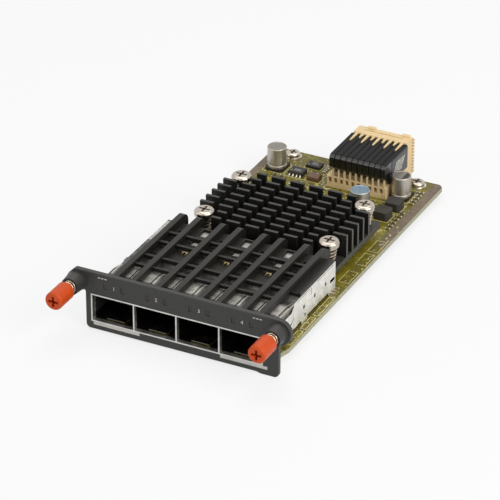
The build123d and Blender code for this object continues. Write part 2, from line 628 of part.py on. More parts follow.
def port_connector(x):
    """Socket at the back of one port."""
    half = PORT_PITCH / 2 - CAGE_SHEET - SOCKET_SIDE
    body = block(x - half, x + half, SOCKET_FRONT, SOCKET_REAR, 0, SOCKET_HEIGHT)
    low, height = SOCKET_MOUTH
    inner = half - SOCKET_WALL
    mouth_rear = SOCKET_REAR - SOCKET_BACK_WALL
    return body - block(x - inner, x + inner, SOCKET_FRONT - 1, mouth_rear, low, low + height)


def port_contacts():
    """Contact springs on the upper and lower face of each socket's mouth."""
    low, height = SOCKET_MOUTH
    front = SOCKET_FRONT + CONTACT_INSET
    rear = SOCKET_REAR - SOCKET_BACK_WALL
    half = CONTACT_SIZE / 2
    contacts = []
    for x in PORT_CENTRES:
        for i in range(CONTACT_COUNT):
            place = x + (i - (CONTACT_COUNT - 1) / 2) * CONTACT_PITCH
            for z in (low, low + height - CONTACT_SHEET):
                contacts.append(block(place - half, place + half, front, rear, z, z + CONTACT_SHEET))
    return contacts


def pipe_outline(front):
    """Side view of a light pipe: a run above the cage and a leg down to the board."""
    rear = CHANNEL_REAR - PIPE_PLAY
    high = CHANNEL_TOP - PIPE_PLAY
    low = high - PIPE_THICKNESS
    knee = rear - PIPE_THICKNESS
    outline = shape((front, high), (front, low), (knee, low), (knee, LEG_LOW), (rear, LEG_LOW), (rear, high))
    return rounded(outline, BAR_BEND - BAR_WEB, ((rear, high),))


def light_pipe(x):
    """Clear pipe from one window to its lamp."""
    half = PIPE_WIDTH / 2
    nose_half = WINDOW_WIDTH / 2 - PIPE_PLAY
    nose_rear = BAR_FRONT - PIPE_PLAY
    run = side_on(pipe_outline(nose_rear), x - half, x + half)
    low, high = WINDOW_LOW + PIPE_PLAY, WINDOW_TOP - PIPE_PLAY
    nose = block(x - nose_half, x + nose_half, PIPE_RECESS, nose_rear, low, high)
    return run + nose


def light_pipes(port):
    """The two pipes of one port."""
    return [light_pipe(PORT_CENTRES[port] + side) for side in (WINDOW_LEFT, WINDOW_RIGHT)]


def carrier_bar(x):
    """Hooded bar over one light pipe, with its leg behind the cage."""
    outline = shape((BAR_FRONT, BAR_TOP), (BAR_FRONT, BAR_LOW), (LEG_FRONT, BAR_LOW), (LEG_FRONT, LEG_LOW),
                    (LEG_REAR, LEG_LOW), (LEG_REAR, BAR_TOP))
    outline = rounded(outline, BAR_BEND, ((LEG_REAR, BAR_TOP),))
    half = BAR_WIDTH / 2
    skirt = block(x - half, x + half, DECK_FRONT, LEG_FRONT, CAGE_TOP, BAR_LOW)
    return side_on(outline, x - half, x + half) + skirt


def carrier_channel(x):
    """Room for one light pipe, open downwards in front and forwards at the leg."""
    outline = shape((BAR_FRONT - 1, CHANNEL_TOP), (BAR_FRONT - 1, DECK_TOP), (LEG_FRONT - 1, DECK_TOP),
                    (LEG_FRONT - 1, 0), (CHANNEL_REAR, 0), (CHANNEL_REAR, CHANNEL_TOP))
    outline = rounded(outline, BAR_BEND - BAR_WEB, ((CHANNEL_REAR, CHANNEL_TOP),))
    half = PIPE_WIDTH / 2 + PIPE_PLAY
    return side_on(outline, x - half, x + half)


def deck_holes():
    """Openings in the deck that show the cage below."""
    holes = []
    low, high = CAGE_TOP - 1, DECK_TOP + HOLE_CLEARANCE
    half = DECK_HOLE_WIDTH / 2
    for x in DIVIDERS:
        middle = x + DECK_HOLE_SHIFT
        for from_rear, depth in DECK_HOLES:
            y = DECK_REAR - from_rear
            holes.append(block(middle - half, middle + half, y, y + depth, low, high))
    slot_from_rear, slot_depth, slot_width = DECK_SLOT
    slot_y = DECK_REAR - slot_from_rear
    dot = DECK_DOT_SIZE / 2
    for x in PORT_CENTRES:
        holes.append(block(x - slot_width / 2, x + slot_width / 2, slot_y, slot_y + slot_depth, low, high))
        for from_rear in DECK_DOTS:
            y = DECK_REAR - from_rear
            holes.append(block(x - dot, x + dot, y - dot, y + dot, low, high))
    return holes


def light_pipe_carrier():
    """Black moulded frame: bars, cross bars, deck on the cage and a rim at its right."""
    left, right = WINDOWS[0] - BAR_WIDTH / 2, WINDOWS[-1] + BAR_WIDTH / 2
    deck = block(-CAGE_HALF + DECK_LEFT_INSET, CAGE_HALF, DECK_FRONT, DECK_REAR, CAGE_TOP, DECK_TOP)
    rim = block(CAGE_HALF - RIM_WIDTH, CAGE_HALF, DECK_FRONT, DECK_REAR, CAGE_TOP, DECK_TOP + RIM_HEIGHT)
    half = CROSS_BAR_WIDTH / 2
    crosses = [block(left, right, LEG_REAR - y - half, LEG_REAR - y + half, CHANNEL_TOP - CROSS_BAR_HEIGHT,
                     CHANNEL_TOP) for y in CROSS_BARS_FROM_REAR]
    frame = (deck - deck_holes()) + [rim] + crosses + [carrier_bar(x) for x in WINDOWS]
    return frame - [carrier_channel(x) for x in WINDOWS]


def leds():
    return [block_at(x, LED_Y, LED_SIZE) for x in WINDOWS]


def board():
    """Circuit board with its cut corners and its screw and pin holes."""
    cut_width, cut_length = BOARD_FRONT_CUT
    narrow = BOARD_RIGHT - cut_width
    outline = shape(
        (BOARD_LEFT, BOARD_FRONT), (narrow, BOARD_FRONT), (narrow, cut_length),
        (BOARD_RIGHT, cut_length + BOARD_FRONT_SLOPE), (BOARD_RIGHT, BOARD_REAR - BOARD_REAR_CHAMFER),
        (BOARD_RIGHT - BOARD_REAR_CHAMFER, BOARD_REAR), (BOARD_LEFT, BOARD_REAR),
    )
    sheet = extrude(outline, -BOARD_THICKNESS)
    low = -BOARD_THICKNESS - 1
    holes = [post(x, y, low, 1, SINK_SCREW_RADIUS + HOLE_CLEARANCE) for x, y in SINK_SCREWS]
    holes += [post(x, y, low, 1, BOARD_SCREW_RADIUS + HOLE_CLEARANCE) for x, y in BOARD_SCREWS + BEZEL_SCREWS]
    pin = CAGE_PIN_SIZE / 2 + HOLE_CLEARANCE
    for x, y in CAGE_PINS:
        edge = CAGE_SHEET / 2 + HOLE_CLEARANCE
        holes.append(block(x - edge, x + edge, y - pin, y + pin, low, 1))
    tail = TAIL_SIZE / 2 + HOLE_CLEARANCE
    holes += [block(x - tail, x + tail, y - tail, y + tail, low, 1) for x, y in TAILS]
    return sheet - holes


def fin_places():
    """Left, right and front of every fin, with the corners kept free for the screws."""
    left = BOARD_X - SINK_WIDTH / 2
    places = []
    for row in range(SINK_ROWS):
        y = SINK_FRONT + row * FIN_ROW_PITCH
        for column in range(SINK_COLUMNS):
            x0 = left + column * FIN_COLUMN_PITCH
            x1 = x0 + FIN_LENGTH
            for sx, sy in SINK_SCREWS:
                if sy - SINK_POCKET_Y < y + FIN_THICKNESS and y < sy + SINK_POCKET_Y:
                    if x0 < sx - SINK_POCKET_X < x1:
                        x1 = sx - SINK_POCKET_X
                    elif x0 < sx + SINK_POCKET_X < x1:
                        x0 = sx + SINK_POCKET_X
                    elif sx - SINK_POCKET_X <= x0 and x1 <= sx + SINK_POCKET_X:
                        x1 = x0
            if x1 - x0 > FIN_THICKNESS:
                places.append((x0, x1, y))
    return places


def heat_sink():
    """Base plate with cross-cut fins and four free corners."""
    half = SINK_WIDTH / 2
    base = block(BOARD_X - half, BOARD_X + half, SINK_FRONT, SINK_REAR, SINK_LOW, SINK_BASE_TOP)
    fins = [block(x0, x1, y, y + FIN_THICKNESS, SINK_BASE_TOP - 0.5 * SINK_BASE, SINK_TOP)
            for x0, x1, y in fin_places()]
    holes = [post(x, y, SINK_LOW - 1, SINK_TOP, SINK_SCREW_RADIUS + HOLE_CLEARANCE) for x, y in SINK_SCREWS]
    return base + fins - holes


def switch_chip():
    """Large chip below the heat sink: a carrier plate with a raised lid."""
    lid = CHIP_SIZE - 5 * PAD_INSET
    carrier = block_at(BOARD_X, SINK_Y, (CHIP_SIZE, CHIP_SIZE, CHIP_HEIGHT / 2))
    return carrier + block_at(BOARD_X, SINK_Y, (lid, lid, CHIP_HEIGHT))


def thermal_pad():
    size = CHIP_SIZE - 6 * PAD_INSET
    return block_at(BOARD_X, SINK_Y, (size, size, PAD_THICKNESS), CHIP_HEIGHT)


def heat_sink_screws():
    reach = SCREW_SEAT + BOARD_THICKNESS + SINK_NUT_HEIGHT
    screw = pan_screw(SINK_SCREW_HEAD_RADIUS, SINK_SCREW_HEAD_HEIGHT, SINK_SCREW_RADIUS, reach)
    return [Pos(x, y, SCREW_SEAT) * screw for x, y in SINK_SCREWS]


def heat_sink_springs():
    radii = (SINK_SPRING_BOTTOM_RADIUS, SINK_SPRING_TOP_RADIUS)
    spring = coil(*radii, SINK_SCREW_STANDOFF, SINK_TURNS, SINK_WIRE)
    return [Pos(x, y, SINK_BASE_TOP) * spring for x, y in SINK_SCREWS]


def heat_sink_nuts():
    nut = hex_nut(4.6 * SINK_SCREW_RADIUS, SINK_NUT_HEIGHT, SINK_SCREW_RADIUS + HOLE_CLEARANCE / 4)
    return [Pos(x, y, -BOARD_THICKNESS) * nut for x, y in SINK_SCREWS]


def board_screws():
    reach = -FOOT_LOW
    screw = pan_screw(BOARD_SCREW_HEAD_RADIUS, BOARD_SCREW_HEAD_HEIGHT, BOARD_SCREW_RADIUS, reach)
    return [Pos(x, y, 0) * screw for x, y in BOARD_SCREWS]


def board_nuts():
    height = -BOARD_THICKNESS - FOOT_LOW
    nut = hex_nut(4.6 * BOARD_SCREW_RADIUS, height, BOARD_SCREW_RADIUS + HOLE_CLEARANCE / 4)
    return [Pos(x, y, -BOARD_THICKNESS) * nut for x, y in BOARD_SCREWS]


def wafer(x):
    """One moulded contact slice of the backplane connector."""
    outline = shape(
        (WAFER_FRONT, WAFER_NOSE_LOW), (WAFER_FRONT, WAFER_TOP), (HOUSING_FRONT, WAFER_TOP),
        (HOUSING_FRONT, WAFER_LOW), (WAFER_FRONT + (WAFER_NOSE_LOW - WAFER_LOW), WAFER_LOW),
    )
    outline = rounded(outline, WAFER_NOSE_ROUND, ((WAFER_FRONT, WAFER_TOP),))
    return side_on(outline, x - WAFER_THICKNESS / 2, x + WAFER_THICKNESS / 2)


def connector_comb():
    """Tan block below the wafers, with a hole in its face and a peg for each of them."""
    width, height, depth = COMB_HOLE
    peg_width, peg_depth, peg_height = COMB_PEG
    body = block(COMB_LEFT, COMB_RIGHT, COMB_FRONT, HOUSING_FRONT, 0, COMB_TOP)
    holes = []
    pegs = []
    for x in WAFERS:
        hole = x + COMB_HOLE_SHIFT
        holes.append(block(hole - width / 2, hole + width / 2, COMB_FRONT - 1, COMB_FRONT + depth,
                           COMB_HOLE_LOW, COMB_HOLE_LOW + height))
        peg = x + COMB_PEG_SHIFT
        pegs.append(block(peg - peg_width / 2, peg + peg_width / 2, COMB_FRONT, COMB_FRONT + peg_depth,
                          COMB_TOP - COMB_PEG_ROOT, COMB_TOP + peg_height))
    return body - holes + pegs


def housing_finger(x, length):
    """Tapered finger of the housing, over the gap between two wafers."""
    half, tip = FINGER_WIDTH / 2, FINGER_TIP / 2
    root, front = HOUSING_FRONT + 1, HOUSING_FRONT - length
    outline = shape((x - half, root), (x - half, HOUSING_FRONT), (x - tip, front),
                    (x + tip, front), (x + half, HOUSING_FRONT), (x + half, root))
    return extrude(Pos(0, 0, WAFER_TOP) * outline, FINGER_THICKNESS)


def housing_key(x):
    """Bevelled block at the rear of the housing's top."""
    half = KEY_WIDTH / 2
    top = HOUSING_TOP + KEY_HEIGHT
    key = block(x - half, x + half, HOUSING_REAR - KEY_LENGTH, HOUSING_REAR, HOUSING_TOP - 1, top)
    return chamfer(key.edges().filter_by(Axis.X).group_by(Axis.Z)[-1], KEY_HEIGHT / 2)


def connector_housing():
    """Cream shroud at the rear, with slots for the mating blades and two keys on top."""
    left, right = HOUSING_LEFT, HOUSING_RIGHT
    over_board = block(left, right, HOUSING_FRONT, BOARD_REAR + HOLE_CLEARANCE, 0, HOUSING_TOP)
    beyond = block(left, right, BOARD_REAR + HOLE_CLEARANCE, HOUSING_REAR, -BOARD_THICKNESS / 2, HOUSING_TOP)
    slot_width, slot_height, slot_depth = HOUSING_SLOT
    low = (HOUSING_TOP - slot_height) / 2
    slots = [block(x - slot_width / 2, x + slot_width / 2, HOUSING_REAR - slot_depth, HOUSING_REAR + 1,
                   low, low + slot_height) for x in BETWEEN_WAFERS]
    keys = [housing_key(CONNECTOR_X + KEY_MIDDLE + side * KEY_SPREAD / 2) for side in (-1, 1)]
    groove_width, groove_depth = TOP_GROOVE
    groove_y = (HOUSING_FRONT + HOUSING_REAR) / 2
    groove = block(left + TOP_GROOVE_INSET, right - TOP_GROOVE_INSET, groove_y, groove_y + groove_width,
                   HOUSING_TOP - groove_depth, HOUSING_TOP + 1)
    pitch = HOUSING_TOP / HOUSING_RIB_COUNT
    ribs = [block(right - HOUSING_RIB, right + HOUSING_RIB, HOUSING_REAR - HOUSING_RIB, HOUSING_REAR,
                  i * pitch + pitch / 4, i * pitch + 3 * pitch / 4) for i in range(HOUSING_RIB_COUNT)]
    lengths = [FINGER_SHORT if i % 2 else FINGER_LONG for i in range(WAFER_COUNT - 1)]
    fingers = [housing_finger(x, length) for x, length in zip(BETWEEN_WAFERS, lengths)]
    return over_board + beyond - slots - groove + keys + ribs + fingers


def connector_shield():
    """Sheet on the last wafer with slanted bright contact strips."""
    x = WAFERS[-1] + WAFER_THICKNESS / 2
    front = WAFER_FRONT + WAFER_NOSE_ROUND + (WAFER_NOSE_LOW - WAFER_LOW)
    top = WAFER_TOP - WAFER_NOSE_ROUND / 4
    sheet = block(x, x + SHIELD_THICKNESS / 2, front, HOUSING_FRONT, WAFER_LOW, top)
    width, length = SHIELD_STRIPE
    middle = (WAFER_LOW + WAFER_TOP) / 2
    strips = []
    for i in range(SHIELD_STRIPES):
        y = HOUSING_FRONT - SHIELD_STRIPE_START - i * SHIELD_STRIPE_PITCH
        strip = Pos(y, middle) * Rectangle(width, length, rotation=SHIELD_LEAN)
        strips.append(side_on(strip, x + SHIELD_THICKNESS / 4, x + SHIELD_THICKNESS))
    return sheet + strips


def connector_pins():
    """Tails of the wafers, from below the comb through the board."""
    return [block_at(x, y, (TAIL_SIZE, TAIL_SIZE, TAIL_DROP), -TAIL_DROP) for x, y in TAILS]


def capacitor_place(index):
    """Middle of one capacitor on the board."""
    x, from_rear = CAN_PLACES[index]
    return BOARD_X + x, BOARD_REAR - from_rear


def capacitor_can(index):
    """Aluminium can with a rolled groove near its foot and a shallow rim on top."""
    r, low, high = CAN_RADIUS, CAN_BASE_HEIGHT, CAN_BASE_HEIGHT + CAN_HEIGHT
    step = CAN_GROOVE
    groove = low + 4 * step
    outline = shape(
        (0, low), (r, low), (r, groove - step), (r - step, groove), (r - step, groove + step),
        (r, groove + 2 * step), (r, high - step), (r - step, high), (r - 2 * step, high),
        (r - 3 * step, high - step / 2), (0, high - step / 2),
    )
    can = revolve(Plane.XZ * outline, Axis.Z)
    return Pos(*capacitor_place(index)) * can


def capacitor_bases():
    """Square plastic feet of the capacitors, each with two cut corners."""
    bases = []
    for index in range(len(CAN_PLACES)):
        x, y = capacitor_place(index)
        base = block_at(x, y, (CAN_BASE, CAN_BASE, CAN_BASE_HEIGHT))
        bases.append(chamfer(base.edges().filter_by(Axis.Z).group_by(Axis.Y)[0], CAN_BASE / 6))
    return bases


def on_board(part):
    """Block for an entry of place from the board's middle and rear edge, and size."""
    x, from_rear, width, depth, height = part
    return block_at(BOARD_X + x, BOARD_REAR - from_rear, (width, depth, height))


def chip_body(part):
    """Moulded chip with bevelled upper edges, held a little off the board."""
    body = on_board(part)
    return chamfer(body.edges().group_by(Axis.Z)[-1], 0.15 * part[4])


def chip_leads():
    """Leads along the front and rear of the control chip."""
    x, from_rear, _, depth, height = CONTROL_CHIP
    width, length, thickness = LEAD_SIZE
    leads = []
    for side in (-1, 1):
        y = BOARD_REAR - from_rear + side * (depth + length) / 2
        for i in range(LEAD_COUNT):
            place = BOARD_X + x + (i - (LEAD_COUNT - 1) / 2) * LEAD_PITCH
            foot = block_at(place, y, (width, length, thickness))
            y0, y1 = sorted((y - side * length / 2, y - side * (length / 2 - thickness)))
            leads.append(foot + block(place - width / 2, place + width / 2, y0, y1, 0, 0.55 * height))
    return leads


def power_coils():
    """Square inductors with cut corners."""
    bodies = [on_board(place + COIL_SIZE) for place in COIL_PLACES]
    return [chamfer(body.edges().filter_by(Axis.Z), COIL_SIZE[0] / 8) for body in bodies]


def rows_of(size, rows, counts):
    """Small parts in rows, measured from the board's middle and rear."""
    parts = []
    for (x, from_rear, step_x, step_y), count in zip(rows, counts):
        for i in range(count):
            parts.append(block_at(BOARD_X + x + i * step_x, BOARD_REAR - from_rear + i * step_y, size))
    return parts


def thumbscrew(side):
    """Captive screw: red head, shank through the ear and a groove for its ring."""
    x = side * EAR_X
    head = rod(x, EAR_Z, HEAD_FRONT, HEAD_BACK, HEAD_RADIUS)
    head = fillet(head.edges().sort_by(Axis.Y)[0], HEAD_ROUND)
    recess = cross(HEAD_RECESS, HEAD_RECESS_WIDTH, HEAD_RECESS_DEPTH, -HEAD_FRONT)
    head -= Pos(x, 0, EAR_Z) * Rot(90, 0, 0) * recess
    groove_front = RING_FRONT - RING_PLAY
    groove_rear = RING_FRONT + RING_THICKNESS + RING_PLAY
    shank = rod(x, EAR_Z, HEAD_BACK - 1, SHANK_TAIL, SHANK_RADIUS)
    shank = chamfer(shank.edges().sort_by(Axis.Y)[-1], GROOVE_DEPTH)
    groove = rod(x, EAR_Z, groove_front, groove_rear, 2 * SHANK_RADIUS)
    groove -= rod(x, EAR_Z, groove_front - 1, groove_rear + 1, SHANK_RADIUS - GROOVE_DEPTH)
    return head + shank - groove


def retaining_ring(side):
    """Open clip in the shank's groove behind the ear."""
    x = side * EAR_X
    bore = SHANK_RADIUS - GROOVE_DEPTH + RING_PLAY
    rear = RING_FRONT + RING_THICKNESS
    ring = rod(x, EAR_Z, RING_FRONT, rear, bore + RING_WIDTH)
    mouth = block(x - RING_MOUTH / 2, x + RING_MOUTH / 2, RING_FRONT - 1, rear + 1, EAR_Z - 3 * bore, EAR_Z)
    return ring - rod(x, EAR_Z, RING_FRONT - 1, rear + 1, bore) - mouth


def thumb_spring(side):
    """Coil between the boss's seat and the screw's head."""
    length = -SPRING_SEAT - HEAD_BACK
    spring = coil(THUMB_COIL_RADIUS, THUMB_COIL_RADIUS, length, THUMB_TURNS, THUMB_WIRE)
    return Pos(side * EAR_X, -SPRING_SEAT, EAR_Z) * Rot(90, 0, 0) * spring


def pieces():
    """Every node's name with its solid or solids."""
    made = {
        "bezel": bezel(), "bezel_screws": bezel_screws(), "port_collar": port_collar(),
        "cage_shell": cage_shell(), "cage_floor": cage_floor(), "emi_collar": emi_collar(),
        "port_contacts": port_contacts(), "light_pipe_carrier": light_pipe_carrier(), "leds": leds(),
        "board": board(), "heat_sink": heat_sink(), "thermal_pad": thermal_pad(),
        "switch_chip": switch_chip(), "heat_sink_screws": heat_sink_screws(),
        "heat_sink_springs": heat_sink_springs(), "heat_sink_nuts": heat_sink_nuts(),
        "board_screws": board_screws(), "board_nuts": board_nuts(),
        "connector_housing": connector_housing(), "connector_comb": connector_comb(),
        "connector_shield": connector_shield(), "connector_pins": connector_pins(),
        "capacitor_bases": capacitor_bases(), "control_chip": chip_body(CONTROL_CHIP),
        "logic_chip": chip_body(LOGIC_CHIP), "chip_leads": chip_leads(), "filter_coil": chip_body(BROWN_COIL),
        "ceramic_parts": rows_of(CERAMIC_SIZE, CERAMIC_ROWS, CERAMIC_COUNTS), "power_coils": power_coils(),
        "chip_resistors": rows_of(RESISTOR_SIZE, RESISTOR_ROWS, RESISTOR_COUNTS),
    }
    for i, x in enumerate(DIVIDERS):
        made[f"cage_divider_{i + 1}"] = cage_divider(x)
    for i, x in enumerate(PORT_CENTRES):
        made[f"port_connector_{i + 1}"] = port_connector(x)
        made[f"light_pipes_{i + 1}"] = light_pipes(i)
    for i, x in enumerate(WAFERS):
        made[f"wafer_{i + 1}"] = wafer(x)
    for i in range(len(CAN_PLACES)):
        made[f"capacitor_can_{i + 1}"] = capacitor_can(i)
    for name, side in (("left", -1), ("right", 1)):
        made[f"thumbscrew_{name}"] = thumbscrew(side)
        made[f"retaining_ring_{name}"] = retaining_ring(side)
        made[f"thumb_spring_{name}"] = thumb_spring(side)
    return made


for name, solids in pieces().items():
    if isinstance(solids, list):
        solids = Compound(children=[solid for item in solids for solid in item.solids()])
    export_step(MOVE * solids, f"parts/{name}.step")
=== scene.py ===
import math
import random

import bmesh
import bpy
from bpy.props import FloatProperty, FloatVectorProperty, IntProperty, PointerProperty
from mathutils import Matrix, Vector


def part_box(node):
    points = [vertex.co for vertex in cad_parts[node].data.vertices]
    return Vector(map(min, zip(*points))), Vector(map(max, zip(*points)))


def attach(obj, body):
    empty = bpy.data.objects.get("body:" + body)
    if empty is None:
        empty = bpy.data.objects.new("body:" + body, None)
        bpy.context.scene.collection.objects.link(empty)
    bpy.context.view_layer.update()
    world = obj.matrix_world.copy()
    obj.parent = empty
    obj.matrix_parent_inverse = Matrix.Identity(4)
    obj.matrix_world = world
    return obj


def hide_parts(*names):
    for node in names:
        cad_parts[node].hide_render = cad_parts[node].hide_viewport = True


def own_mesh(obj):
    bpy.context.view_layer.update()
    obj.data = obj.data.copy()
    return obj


bl_info = {
    "name": "Network port module finishes",
    "version": (1, 0, 0),
    "blender": (4, 5, 0),
    "location": "3D View > Sidebar > Port Module",
    "description": "Dresses the port module's packed solids and sets its studio",
    "category": "Object",
}

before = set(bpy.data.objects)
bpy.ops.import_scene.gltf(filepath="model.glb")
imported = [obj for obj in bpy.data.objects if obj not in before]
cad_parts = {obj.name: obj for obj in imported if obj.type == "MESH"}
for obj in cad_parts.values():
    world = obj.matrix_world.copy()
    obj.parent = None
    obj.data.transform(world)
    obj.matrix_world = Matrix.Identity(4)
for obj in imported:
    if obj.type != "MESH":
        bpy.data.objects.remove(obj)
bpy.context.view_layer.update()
MM = 0.001

# The pieces below are placed in the module's own millimetres: X from the middle of the ports,
# Y from the bezel's face and Z from the board's top.
COLLAR_PROUD = 0.1
COLLAR_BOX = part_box("port_collar")
ORIGIN = Vector(((COLLAR_BOX[0][0] + COLLAR_BOX[1][0]) / 2, COLLAR_BOX[0][1] + COLLAR_PROUD * MM,
                 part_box("board")[1][2]))
PORT_PITCH = 14.25
PORT_CENTRES = tuple(PORT_PITCH * (i - 1.5) for i in range(4))

# Pins of the cage through the board: distance from the middle, front, length and shares of it
CAGE_PIN_X = 28.5
CAGE_FRONT = 1.6
CAGE_LENGTH = 47.8
CAGE_PIN_SHARES = (0.04, 0.3, 0.55, 0.96)

# Seam strips beside the cage's floor: their sides and heights
SEAM_SIDES = ((-28.34, -28.21), (28.21, 28.34))
SEAM_LOW, SEAM_HIGH = 0.35, 1.6

# Clips on the cage's top: where the tabs start beside the middle, and how high they stand
CLIP_TABS = (-0.55, 0.75)
CLIP_HEIGHT = 0.7

# Patches of painted light on the cage's top, between the light pipe frame's bars, which repeat at each
# port: left end, width, front and rear
PAINTED_LIGHT_PATCHES = ((-23.7, 2.9, 11.0, 20.5), (-18.3, 5.1, 11.0, 17.8), (-15.3, 3.0, 36.0, 48.5))

# Print on the bezel: the bars' ends and heights, and the dashes' starts
PRINT_BARS = ((-28.0, -12.4), (14.6, 30.2))
PRINT_BAR_LOW, PRINT_BAR_HIGH = -1.3, -0.3
DASH_STARTS = (-26.2, 25.4)
DASH_PITCH, DASH_LENGTH = 1.1, 0.8
PRINT_SUNK = 0.02

# Outlines printed down the board's right margin: from and to
MARGIN_BOXES = ((13.6, 22.5), (23.6, 31.2), (32.4, 44.5))
MARGIN_SQUARES = (54.0, 66.0, 75.0)
MARGIN_SQUARE_LENGTH = 7.4

# Vias: how many, from where to where across and along, the largest share of their radius, and
# whether they are below the board
VIA_FIELDS = (
    (260, (-25.5, 27.5), (86.6, 121.0), 1.2, False),
    (60, (27.0, 31.0), (14.0, 92.0), 1.1, False),
    (220, (-27.0, 30.0), (12.0, 118.0), 1.2, True),
)
VIA_HEIGHT = 0.03

# Textures
NOISE_ROUGHNESS = 0.55
WAVES_PER_METRE = 170

# Studio: what the lamps point at, then name, place, size and power of each
LAMP_TARGET = (0.0, 0.0, 0.01)
LAMPS = (
    ("key_lamp", (0.75, -0.25, 0.55), 0.7, "key_power"),
    ("top_lamp", (-0.1, 0.2, 0.9), 0.8, "top_power"),
    ("fill_lamp", (-0.6, -0.7, 0.4), 0.7, "fill_power"),
)
CAMERA_AXES = ((0.8928, 0.4504, 0.0), (-0.2232, 0.4424, 0.8686), (0.3913, -0.7755, 0.4955))
FLOOR_GLOW = 0.75


def at(x, y, z):
    """Place in the frame for a place in the module's own millimetres."""
    return ORIGIN + Vector((x, y, z)) * MM


def own_box(node):
    """Lowest and highest corner of a CAD node in the module's own millimetres."""
    return [tuple((Vector(corner) - ORIGIN) / MM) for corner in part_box(node)]


BOARD_LOW = own_box("board")[0]
CONNECTOR_BOX = own_box("connector_comb")


def color_property(name, description, default):
    return FloatVectorProperty(name=name, description=description, subtype="COLOR", size=3,
                               min=0.0, max=1.0, default=default)


def length_property(name, description, default):
    return FloatProperty(name=name, description=description, unit="LENGTH", default=default, min=0.0)


def power_property(name, description, default):
    return FloatProperty(name=name, description=description, subtype="POWER", default=default, min=0.0)


class ModuleColors(bpy.types.PropertyGroup):
    """Main colours of the module's finishes."""
    bezel: color_property("Bezel", "Satin paint of the face plate", (0.033, 0.034, 0.034))
    print: color_property("Print", "Pale print on the face plate", (0.56, 0.56, 0.55))
    carrier: color_property("Light pipe frame", "Moulded black plastic", (0.0095, 0.009, 0.0075))
    sink: color_property("Heat sink", "Black anodised aluminium", (0.0085, 0.0085, 0.008))
    tin: color_property("Cage steel", "Tin plated sheet", (0.72, 0.71, 0.68))
    nickel: color_property("Screws", "Nickel plating", (0.5, 0.45, 0.39))
    wire: color_property("Springs", "Spring wire", (0.58, 0.5, 0.4))
    thumb: color_property("Thumbscrews", "Orange red lacquer", (0.54, 0.064, 0.006))
    mask: color_property("Board over copper", "Solder mask where copper lies below", (0.2, 0.175, 0.016))
    laminate: color_property("Board between copper", "Solder mask on bare laminate", (0.08, 0.07, 0.015))
    edge: color_property("Board margin", "Bare strip along the board's sides", (0.16, 0.125, 0.09))
    cream: color_property("Connector plastic", "Cream glass filled plastic", (0.77, 0.61, 0.37))
    wafer: color_property("Connector wafers", "Glossy black plastic", (0.008, 0.008, 0.009))
    can: color_property("Capacitor cans", "Drawn aluminium", (0.5, 0.47, 0.42))


class ModuleSizes(bpy.types.PropertyGroup):
    """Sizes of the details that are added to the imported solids."""
    print_height: length_property("Print height", "How far the print stands off the face plate", 0.00003)
    legend_width: length_property("Legend line", "Width of the printed lines on the board", 0.00018)
    legend_height: length_property("Legend height", "How far the board's print stands up", 0.00003)
    trace_width: length_property("Trace width", "Width of a raised copper trace", 0.00028)
    trace_height: length_property("Trace height", "How far a trace stands up", 0.00002)
    via_radius: length_property("Via radius", "Radius of a plated hole's ring", 0.00024)
    cap_length: length_property("Cap length", "Length of the tinned end of a small part", 0.00024)
    coil_radius: length_property("Thumb spring radius", "Radius of the thumb spring's middle line", 0.0019)
    coil_wire: length_property("Thumb spring wire", "Thickness of the thumb spring's wire", 0.00042)
    coil_turns: IntProperty(name="Thumb spring turns", description="Turns of each thumb spring",
                            default=5, min=2)
    seed: IntProperty(name="Seed", description="Seed for the scattered vias and marks", default=11, min=0)


class ModuleStage(bpy.types.PropertyGroup):
    """Camera and lamps of the studio."""
    lens: FloatProperty(name="Lens", description="Focal length of the camera in millimetres",
                        default=251.1, min=50.0)
    camera_place: FloatVectorProperty(name="Camera place", description="Where the camera stands",
                                      subtype="TRANSLATION", size=3, default=(0.41795, -0.83785, 0.5399))
    key_power: power_property("Key power", "Power of the lamp over the right shoulder", 6.6)
    top_power: power_property("Top power", "Power of the overhead lamp", 4.0)
    fill_power: power_property("Fill power", "Power of the lamp at the left", 2.2)
    warmth: color_property("Warmth", "Tint of the lamps and the even light", (1.0, 0.95, 0.85))
    sky: FloatProperty(name="Sky level", description="Strength of the even light from all round",
                       default=0.28, min=0.0)


